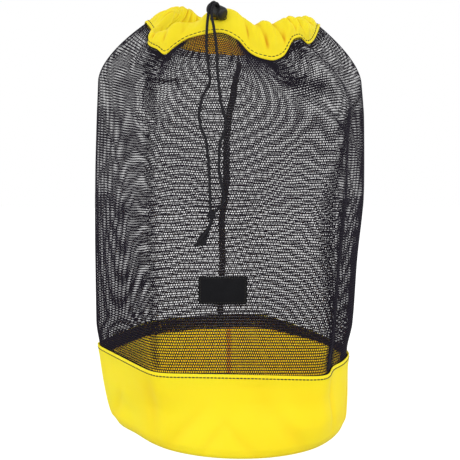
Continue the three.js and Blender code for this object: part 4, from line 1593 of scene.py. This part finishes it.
@dataclass
class Base:
    """The nylon base: a round panel and a side band with a sewn rim."""

    form: SackForm
    palette: Palette
    sewing: Sewing
    columns: int = 300
    rows: int = 34
    foot: float = 0.7
    reach: float = 115.0
    rim_drop: float = 0.5
    under_drop: float = 0.4
    under_inset: float = 0.6
    row_crowding: float = 0.07
    panel_columns: int = 180
    hem_width: float = 9.0
    hem_step: float = 0.8
    hem_bulge: float = 0.3
    rim_calm: float = 14.0
    foot_calm: float = 8.0
    stitch_drop: float = 3.2
    stitch_dimple: float = 0.35
    dimple_spread: float = 0.7
    seam_azimuth: float = 179.0
    seam_half_width: float = 2.6
    seam_edge: float = 0.5
    seam_rise: float = 0.7
    seam_row: tuple[float, float] = (4.0, 68.0)
    seam_row_points: int = 60
    # Painted shade in the creases of the side
    painted_crease_shade: float = 0.06
    seam_tone: float = 0.8
    outer_seam_share: float = 0.12
    # Painted shade on the inner face of the band
    painted_inside_shade: float = 0.14

    def build(self) -> None:
        """Makes and dresses the base."""
        panel = self.panel()
        band = self.band()
        stitches = self.stitches()

    def crease_depth(self, azimuth: np.ndarray, height: np.ndarray) -> np.ndarray:
        """How far the creases press the side in.

        Args:
            azimuth: Places round the base.
            height: Heights above the floor.

        Returns:
            Depths in millimetres.
        """
        total = np.zeros(np.broadcast(azimuth, height).shape)
        for middle, level, lean, length, width, depth in zip(*CREASES.columns.values()):
            across = np.radians(wrapped(azimuth - middle)) * self.reach
            up = height - level
            c, s = math.cos(math.radians(lean)), math.sin(math.radians(lean))
            along = (up * c + across * s) / length
            beside = (across * c - up * s) / width
            total = total + depth * np.exp(-along * along - beside * beside)
        return total

    def outer(self, azimuth: np.ndarray, height: np.ndarray) -> np.ndarray:
        """Distance of the band's outer face from the outline."""
        below_rim = RIM.at("height", azimuth) - height
        calm = smoothstep(below_rim, 0.0, self.rim_calm) * smoothstep(height, 0.0, self.foot_calm)
        hem = self.hem_bulge * (1 - smoothstep(below_rim, self.hem_width - self.hem_step, self.hem_width))
        stitch = self.stitch_dimple * np.exp(-((below_rim - self.stitch_drop) / self.dimple_spread) ** 2)
        return hem - stitch - self.crease_depth(azimuth, height) * calm

    def seam(self, azimuth: np.ndarray) -> np.ndarray:
        """1 over the band's upright seam at the back, and 0 beside it."""
        across = np.abs(np.radians(wrapped(azimuth - self.seam_azimuth))) * self.reach
        return 1 - smoothstep(across, self.seam_half_width - self.seam_edge, self.seam_half_width)

    def band(self) -> bpy.types.Object:
        """Makes the side band."""
        azimuth = np.linspace(0, FULL_TURN, self.columns, endpoint=False)[:, None]
        rim = RIM.at("height", azimuth)
        share = np.linspace(0, 1, self.rows)[None]
        crowded = share + self.row_crowding * np.sin(2 * np.pi * share)
        height = self.foot + (rim - self.rim_drop - self.foot) * np.clip(crowded, 0, 1)
        outer = self.form.off_base(azimuth, height, self.outer(azimuth, height))
        thick = self.form.nylon + self.seam_rise * self.seam(azimuth)
        inner = self.form.off_base(azimuth, height, self.outer(azimuth, height) - thick)
        top = self.form.off_base(azimuth, rim, np.array(self.hem_bulge - 0.5 * self.form.nylon))
        lowest = np.full_like(azimuth, self.foot - self.under_drop)
        under = self.form.off_base(azimuth, lowest, np.array(-self.under_inset))
        points = np.concatenate([outer, top, inner[:, ::-1], under], axis=1)
        band = Loft(points, close_rows=True, close_columns=True).build("base_band", self.palette.nylon)
        tone = self.seam_tone * np.broadcast_to(self.seam(azimuth), points.shape[:2])
        tone[:, :self.rows] *= self.outer_seam_share
        # Painted shade: the outer face deepens in colour in the side's creases
        tone[:, :self.rows] += self.painted_crease_shade * self.crease_depth(azimuth, height)
        # Painted shade: the inner face gets at least this deep tone all round
        tone[:, self.rows + 1:] = np.maximum(tone[:, self.rows + 1:], self.painted_inside_shade)
        set_tone(band, tone)
        return dressed(band, Body.SACK, Slot.NYLON, "base_wall")

    def panel(self) -> bpy.types.Object:
        """Makes the round bottom panel, with a rolled edge that meets the band."""
        azimuth = np.linspace(0, FULL_TURN, self.panel_columns, endpoint=False)
        edge = self.form.outline(azimuth, np.zeros_like(azimuth))
        loops = [np.stack([edge[:, 0] * share, edge[:, 1] * share, np.full(len(edge), height)], axis=-1)
                 for share, height in PANEL_SECTION]
        panel = Loft(np.stack(loops), close_columns=True, capped=True).build("base_panel", self.palette.nylon)
        return dressed(panel, Body.SACK, Slot.NYLON, "base_disc")

    def stitches(self) -> list[bpy.types.Object]:
        """Sews the row round the rim and the two rows up the back seam."""
        azimuth = np.linspace(0, FULL_TURN, 2 * self.columns, endpoint=False)
        height = RIM.at("height", azimuth) - self.stitch_drop
        rim_row = self.form.off_base(azimuth, height, self.outer(azimuth, height) + 0.2)
        inner_row = self.form.off_base(azimuth, height, self.outer(azimuth, height) - self.form.nylon - 0.1)
        pieces = [
            self.sewing.row("base_rim_stitches", rim_row, closed=True, pitch=3.2, length=3.1, thickness=1.0),
            self.sewing.row("base_rim_stitches_inside", inner_row, closed=True),
        ]
        up = np.linspace(*self.seam_row, self.seam_row_points)
        for side, name in ((-0.6, "base_seam_stitches_left"), (0.6, "base_seam_stitches_right")):
            at = np.full_like(up, self.seam_azimuth + side * math.degrees(self.seam_half_width / self.reach))
            row = self.form.off_base(at, up, self.outer(at, up) + 0.12)
            pieces.append(self.sewing.row(name, row, closed=False))
        return [dressed(piece, Body.SACK, Slot.NYLON) for piece in pieces]


# How deeply the casing puckers round the mouth
PUCKERS = Table("azimuth depth", [
    (-150, 2.4), (-110, 2.6), (-75, 1.6), (-55, 1.0), (-34, 1.0), (-20, 0.5), (0, 0.2), (10, 0.5),
    (17, 2.8), (40, 2.6), (52, 1.8), (70, 1.7), (110, 2.4), (155, 2.2),
], FULL_TURN)
# Section of the casing from its hem to its top edge: share along it and distance out of its middle
CASING_SECTION = Table("along out", [
    (0.0, 0.7), (0.03, 0.95), (0.09, 0.6), (0.16, 1.0), (0.34, 2.8), (0.6, 3.1), (0.82, 2.8), (0.94, 1.7),
    (1.0, 0.5),
])
# Shares along the casing of its rows of points, below, beside and above the buttonhole
ROWS_BELOW_HOLE = [0.0, 0.03, 0.06, 0.09, 0.12, 0.16, 0.22, 0.28, 0.34]
ROWS_BESIDE_HOLE = [0.46, 0.54]
ROWS_ABOVE_HOLE = [0.66, 0.74, 0.82, 0.89, 0.94, 0.98]


@dataclass
class Casing:
    """The gathered nylon casing round the mouth."""

    form: SackForm
    palette: Palette
    sewing: Sewing
    columns: int = 560
    cloth: float = 0.55
    stitch_rise: float = 2.7
    hole_azimuth: float = -5.0
    hole_half_length: float = 6.0
    hole_half_width: float = 2.5
    hole_along: float = 0.5
    hole_reach: float = 79.0
    hole_margin: float = 0.7
    broad_folds: int = 20
    broad_size: float = 1.4
    fine_folds: int = 37
    fine_size: float = 0.5
    fine_drift: float = 1.7
    fold_drop: float = 0.5
    fold_lean: float = 60.0
    # Tone of the casing: plain all over, with painted shade in the valleys of its puckers and low down inside
    # its back
    plain_tone: float = 0.18
    valley_shade: float = 0.95
    inside_shade: float = 0.8
    shade_sides: tuple[float, float] = (20.0, 55.0)
    shade_tops: tuple[float, float] = (0.5, 0.9)

    def build(self) -> None:
        """Makes and dresses the casing."""
        casing = self.tunnel()
        rows = [self.stitch_row("casing_stitches", 1.0), self.stitch_row("casing_stitches_inside", -1.0)]
        rows.append(self.buttonhole_row())
        pieces = [dressed(row, Body.SACK, Slot.NYLON) for row in rows]

    def puckers(self, azimuth: np.ndarray, along: np.ndarray) -> tuple[np.ndarray, np.ndarray]:
        """Round ridges and sharp valleys that run up the casing.

        Args:
            azimuth: Places round the mouth.
            along: Shares of the way from the hem to the top edge.

        Returns:
            How deep they are and their wave, which is lowest in the valleys.
        """
        drift = 50 * np.sin(np.radians(3 * azimuth + 20)) + 35 * np.sin(np.radians(7 * azimuth))
        lean = self.fold_lean * along
        broad = np.abs(np.sin(np.radians(self.broad_folds * azimuth + drift + lean)))
        fine = np.abs(np.sin(np.radians(self.fine_folds * azimuth + self.fine_drift * drift - 2 * lean)))
        reach = smoothstep(along, 0.08, 0.55) * (1 - 0.3 * smoothstep(along, 0.8, 1.0))
        wave = self.broad_size * broad + self.fine_size * fine - self.fold_drop
        return PUCKERS.at("depth", azimuth) * reach, wave

    def skin(self, azimuth: np.ndarray, along: np.ndarray, out: np.ndarray) -> np.ndarray:
        """Points of the puckered casing."""
        depth, wave = self.puckers(azimuth, along)
        return self.form.casing(azimuth, along, out + np.sign(out) * depth * wave)

    def tunnel(self) -> bpy.types.Object:
        """Makes the casing as a tube of thin cloth with a buttonhole in its front."""
        azimuth = np.linspace(0, FULL_TURN, self.columns, endpoint=False)[:, None]
        half_share = self.hole_half_width / self.form.casing_length(np.array([self.hole_azimuth]))[0]
        hole_low, hole_high = self.hole_along - half_share, self.hole_along + half_share
        along = np.array([ROWS_BELOW_HOLE + [hole_low] + ROWS_BESIDE_HOLE + [hole_high] + ROWS_ABOVE_HOLE])
        out = CASING_SECTION.at("out", along)
        outer = self.skin(azimuth, along, out)
        inner = self.skin(azimuth, along, -out)[:, ::-1]
        crown = self.skin(azimuth, np.ones((1, 1)), np.zeros((1, 1)))
        brink = self.skin(azimuth, np.full((1, 1), -0.015), np.zeros((1, 1)))
        points = np.concatenate([outer, crown, inner, brink], axis=1)
        casing = Loft(points, close_rows=True, close_columns=True).build("casing", self.palette.nylon)
        set_tone(casing, self.tone(azimuth, along))
        self.cut_buttonhole(casing.data, azimuth.ravel(), along.ravel(), points.shape[1])
        thick = casing.modifiers.new("cloth", "SOLIDIFY")
        thick.thickness = self.cloth * MM
        thick.offset = -1.0
        return dressed(finished_mesh(casing), Body.SACK, Slot.NYLON, "collar")

    def tone(self, azimuth: np.ndarray, along: np.ndarray) -> np.ndarray:
        """Depth of the casing's tone: a plain tone all over, with painted shade that is greatest in its
        valleys and low down inside its back.

        Args:
            azimuth: Places round the mouth.
            along: Shares of the way from the hem to the top edge.

        Returns:
            The tone over the outer face, the top edge, the inner face and the hem's edge.
        """
        depth, wave = self.puckers(azimuth, along)
        # Painted shade in the valleys of the puckers
        valley = smoothstep(depth, 0.2, 1.6) * (1 - smoothstep(wave, -0.5, 0.4))
        # Painted shade low down on the inner face at the back
        behind = 1 - smoothstep(np.abs(wrapped(azimuth - HALF_TURN)), *self.shade_sides)
        hidden = np.maximum(valley, self.inside_shade * behind * (1 - smoothstep(along, *self.shade_tops)))
        ends = np.zeros_like(azimuth)
        shade = np.concatenate([valley, ends, hidden[:, ::-1], ends], axis=1)
        return lerp(self.plain_tone, self.valley_shade, shade)

    def cut_buttonhole(self, mesh: bpy.types.Mesh, azimuth: np.ndarray, along: np.ndarray, size: int) -> None:
        """Takes out the faces of the buttonhole.

        Args:
            mesh: The casing's mesh.
            azimuth: Azimuths of its rows.
            along: Shares of the points on its outer face.
            size: Points in each row.
        """
        half_turn = math.degrees(self.hole_half_length / self.hole_reach)
        off = np.abs(wrapped(azimuth + FULL_TURN / self.columns / 2 - self.hole_azimuth))
        low = int(np.flatnonzero(along < self.hole_along).max()) - 1
        work = bmesh.new()
        work.from_mesh(mesh)
        work.faces.ensure_lookup_table()
        gone = [work.faces[row * size + level]
                for row in np.flatnonzero(off < half_turn).tolist() for level in range(low, low + 3)]
        bmesh.ops.delete(work, geom=gone, context="FACES")
        work.to_mesh(mesh)
        work.free()

    def stitch_row(self, name: str, side: float) -> bpy.types.Object:
        """Sews the row above the hem, on the outside or the inside."""
        azimuth = np.linspace(0, FULL_TURN, 2 * self.columns, endpoint=False)
        along = self.stitch_rise / self.form.casing_length(azimuth)
        out = CASING_SECTION.at("out", along) + 0.1
        return self.sewing.row(name, self.skin(azimuth, along, side * out), closed=True)

    def buttonhole_row(self) -> bpy.types.Object:
        """Sews round the buttonhole."""
        turn = np.linspace(0, 2 * np.pi, 60, endpoint=False)
        half_turn = math.degrees((self.hole_half_length + self.hole_margin) / self.hole_reach)
        length = self.form.casing_length(np.array([self.hole_azimuth]))[0]
        half_share = (self.hole_half_width + self.hole_margin) / length
        squared = np.stack([np.cos(turn), np.sin(turn)])
        squared = np.sign(squared) * np.abs(squared) ** 0.5
        azimuth = self.hole_azimuth + half_turn * squared[0]
        along = self.hole_along + half_share * squared[1]
        row = self.skin(azimuth, along, CASING_SECTION.at("out", along) + 0.1)
        return self.sewing.row("buttonhole_stitches", row, closed=True, pitch=0.9, length=1.2, thickness=0.7)


# Path of the binding tape up the back seam
SEAM_PATH = Table("height azimuth", [
    (66, 184.4), (132, 182.9), (180, 182.8), (244, 180.6), (302, 179.9), (336, 177.2), (356, 174.8),
    (371, 172),
])


@dataclass
class SeamTape:
    """The binding tape over the net's seam, inside the back."""

    form: SackForm
    palette: Palette
    sewing: Sewing
    half_width: float = 1.7
    foot: float = 66.0
    top: float = 371.0
    thickness: float = 0.8
    gap: float = 0.9
    inset: float = 0.15
    ripple_depth: float = 0.25
    ripple_rate: float = 0.45
    wobbles: tuple[tuple[float, float, float], ...] = ((0.2, 0.075, 0.0), (0.12, 0.2, 1.0))
    steps: int = 170

    def build(self) -> None:
        """Makes and dresses the tape and its stitches."""
        height = np.linspace(self.foot, self.top, self.steps)
        outer = -self.form.net_in - self.gap
        across = np.linspace(-1, 1, 7)
        faces = [self.strip(height, across, outer), self.strip(height, across[::-1], outer - self.thickness)]
        tape = Loft(np.concatenate(faces, axis=1), close_columns=True, capped=True)
        pieces = [tape.build("back_seam_binding", self.palette.tape)]
        for side, name in ((-0.72, "tape_stitches_left"), (0.72, "tape_stitches_right")):
            row = self.strip(height, np.array([side]), outer - self.thickness - 0.1)[:, 0]
            pieces.append(self.sewing.row(name, row, closed=False, pitch=3.4, length=2.6, thickness=0.55))
        dressed(pieces[0], Body.SACK, Slot.TAPE, "back_seam_tape")
        for piece in pieces[1:]:
            dressed(piece, Body.SACK, Slot.TAPE)

    def strip(self, height: np.ndarray, across: np.ndarray, out: float) -> np.ndarray:
        """Points of a rippled strip up the back.

        Args:
            height: Heights above the floor.
            across: Places across the tape from -1 to 1.
            out: Distance off the net's wall.

        Returns:
            Grid of points.
        """
        middle = SEAM_PATH.at("azimuth", height)
        share = self.form.net_share(middle, height)
        wobble = sum(size * np.sin(rate * height + phase) for size, rate, phase in self.wobbles)
        azimuth = (middle + wobble)[:, None] + across[None] * self.half_width
        ripple = self.ripple_depth * np.sin(self.ripple_rate * height)[:, None] * across[None]
        return self.form.off_net(azimuth, share[:, None], out + ripple - self.inset)


@dataclass
class Label:
    """The bare woven label on the front."""

    form: SackForm
    palette: Palette
    sewing: Sewing
    left: float = -11.8
    right: float = 8.6
    low: float = 135.6
    high: float = 159.4
    width: float = 41.0
    height: float = 24.0
    thickness: float = 0.8
    clearance: float = 0.3
    margin: float = 1.6
    pillow_rise: float = 0.25
    curl_rise: float = 0.35
    columns: int = 46
    rows: int = 26

    def build(self) -> None:
        """Makes and dresses the label and its stitches."""
        across = np.linspace(-1, 1, self.columns)[None]
        up = np.linspace(-1, 1, self.rows)[:, None]
        front = self.face(across, up, self.thickness)
        back = self.face(across, up, 0.0)[::-1]
        label = Loft(np.concatenate([front, back]).swapaxes(0, 1), close_columns=True, capped=True)
        obj = dressed(label.build("woven_label", self.palette.label), Body.SACK, Slot.LABEL, "label")
        turn = np.linspace(0, 2 * np.pi, 160, endpoint=False)
        square = np.stack([np.cos(turn), np.sin(turn)])
        square = square / np.abs(square).max(axis=0)
        across = square[0] * (1 - 2 * self.margin / self.width)
        up = square[1] * (1 - 2 * self.margin / self.height)
        path = self.face(across, up, self.thickness + 0.12)
        stitches = self.sewing.row("label_stitches", path, closed=True, pitch=2.4, length=1.9, thickness=0.5)
        dressed(stitches, Body.SACK, Slot.LABEL)

    def face(self, across: np.ndarray, up: np.ndarray, out: float) -> np.ndarray:
        """Points of one face of the label.

        Args:
            across: Places from -1 at its left to 1 at its right.
            up: Places from -1 at its foot to 1 at its top.
            out: Distance off its back.

        Returns:
            Points with x, y and z in the last axis.
        """
        across, up = np.broadcast_arrays(across, up)
        azimuth = lerp(self.left, self.right, (across + 1) / 2)
        height = lerp(self.low, self.high, (up + 1) / 2)
        share = self.form.net_share(azimuth, height)
        edge = np.maximum(np.abs(across), np.abs(up))
        pillow = self.pillow_rise * (1 - edge ** 6) * (out > 0)
        curl = self.curl_rise * np.abs(across) ** 8 * np.abs(up) ** 8
        return self.form.off_net(azimuth, share, self.clearance - self.form.net_out + out + pillow + curl)


@dataclass
class CordLock:
    """The spring cord lock: a barrel and the plunger that slides in it."""

    palette: Palette
    hole: tuple[float, float, float] = (-7.411, -83.649, 385.172)
    axis: tuple[float, float, float] = (0.73779, -0.50968, -0.4426)
    out: tuple[float, float, float] = (-0.0727, -0.7118, 0.6986)
    hole_along: float = 4.2
    hole_half_length: float = 2.95
    hole_half_width: float = 1.65
    travel: float = 2.2
    sides: int = 48
    edge_degrees: float = 40.0
    slot_points: int = 32
    slot_reach: float = 9.0
    barrel: tuple[tuple[float, float], ...] = (
        (0.0, 10.4), (3.6, 10.4), (4.0, 10.0), (4.0, 0.5), (4.35, 0.0), (5.0, 0.0), (5.35, 0.15), (5.6, 0.7),
        (5.6, 7.5), (5.45, 7.65), (5.2, 7.8), (5.2, 8.2), (5.45, 8.35), (5.6, 8.5), (5.6, 9.2), (5.45, 10.1),
        (5.0, 10.9), (4.3, 11.5), (3.2, 11.8), (0.0, 11.8),
    )
    plunger: tuple[tuple[float, float], ...] = (
        (0.0, 7.9), (3.4, 7.9), (3.7, 7.6), (3.7, -2.6), (4.8, -2.6), (5.1, -2.9), (5.1, -3.4), (4.85, -3.55),
        (4.85, -3.75), (5.1, -3.9), (5.05, -4.4), (4.7, -5.1), (3.9, -5.6), (2.7, -5.9), (1.4, -6.0),
        (0.0, -6.0),
    )

    def build(self) -> None:
        """Makes and dresses both pieces."""
        low = self.hole_along - self.hole_half_length
        high = self.hole_along + self.hole_half_length
        barrel = self.turned("cord_lock_shell", self.barrel, low, high)
        dressed(barrel, Body.SACK, Slot.PLASTIC, "cord_lock_barrel")
        plunger = self.turned("cord_lock_button", self.plunger, low - self.travel, high)
        dressed(plunger, Body.PLUNGER, Slot.PLASTIC, "cord_lock_plunger")

    def placed(self, outwards: np.ndarray, across: np.ndarray, along: np.ndarray) -> np.ndarray:
        """Points of the lock by their distances from the barrel's mouth."""
        axis = unit(np.array(self.axis))
        side = unit(np.cross(axis, np.array(self.out)))
        out = np.cross(side, axis)
        mouth = np.array(self.hole) - self.hole_along * axis
        return mouth + outwards[..., None] * out + across[..., None] * side + along[..., None] * axis

    def turned(self, name: str, profile: tuple[tuple[float, float], ...], low: float,
               high: float) -> bpy.types.Object:
        """Turns a profile about the lock's axis and cuts the slot for the cord.

        Args:
            name: Name of the piece.
            profile: Pairs of radius and distance along the axis.
            low: Where the slot starts along the axis.
            high: Where it ends.

        Returns:
            The piece.
        """
        radius, along = np.array(profile[1:-1]).T
        turn = 2 * np.pi * np.arange(self.sides) / self.sides
        rings = self.placed(radius[:, None] * np.cos(turn), radius[:, None] * np.sin(turn),
                            np.broadcast_to(along[:, None], (len(along), self.sides)))
        solid = Loft(rings, close_columns=True, capped=True)
        piece = solid.build(name, self.palette.plastic, self.edge_degrees)
        tool = self.slot(low, high)
        cut = piece.modifiers.new("cord slot", "BOOLEAN")
        cut.operation = "DIFFERENCE"
        cut.object = tool
        cut.solver = "EXACT"
        finished_mesh(piece)
        bpy.data.objects.remove(tool)
        piece.data.set_sharp_from_angle(angle=math.radians(self.edge_degrees))
        return piece

    def slot(self, low: float, high: float) -> bpy.types.Object:
        """Makes a round-ended bar in the shape of the slot."""
        turn = np.linspace(0, 2 * np.pi, self.slot_points, endpoint=False)
        half_straight = (high - low) / 2 - self.hole_half_width
        apart = np.where(np.sin(turn) > 0, half_straight, -half_straight)
        along = (low + high) / 2 + np.sin(turn) * self.hole_half_width + apart
        across = np.cos(turn) * self.hole_half_width
        ends = [self.placed(np.full(len(turn), side * self.slot_reach), across, along) for side in (-1, 1)]
        return Loft(np.stack(ends), close_columns=True, capped=True).build("slot tool", self.palette.plastic)


def main() -> None:
    """Builds the studio and every piece of the sack."""
    logging.basicConfig(level=logging.INFO, format="%(name)s: %(message)s")
    Studio().build()
    form = SackForm()
    palette = Palette.mixed()
    sewing = Sewing(StitchTree("stitches", palette.thread))
    Drawcord(form, palette).build()
    CordLock(palette).build()
    Base(form, palette, sewing).build()
    NetBody(form, palette).build()
    Casing(form, palette, sewing).build()
    SeamTape(form, palette, sewing).build()
    Label(form, palette, sewing).build()


if __name__ == "__main__":
    main()
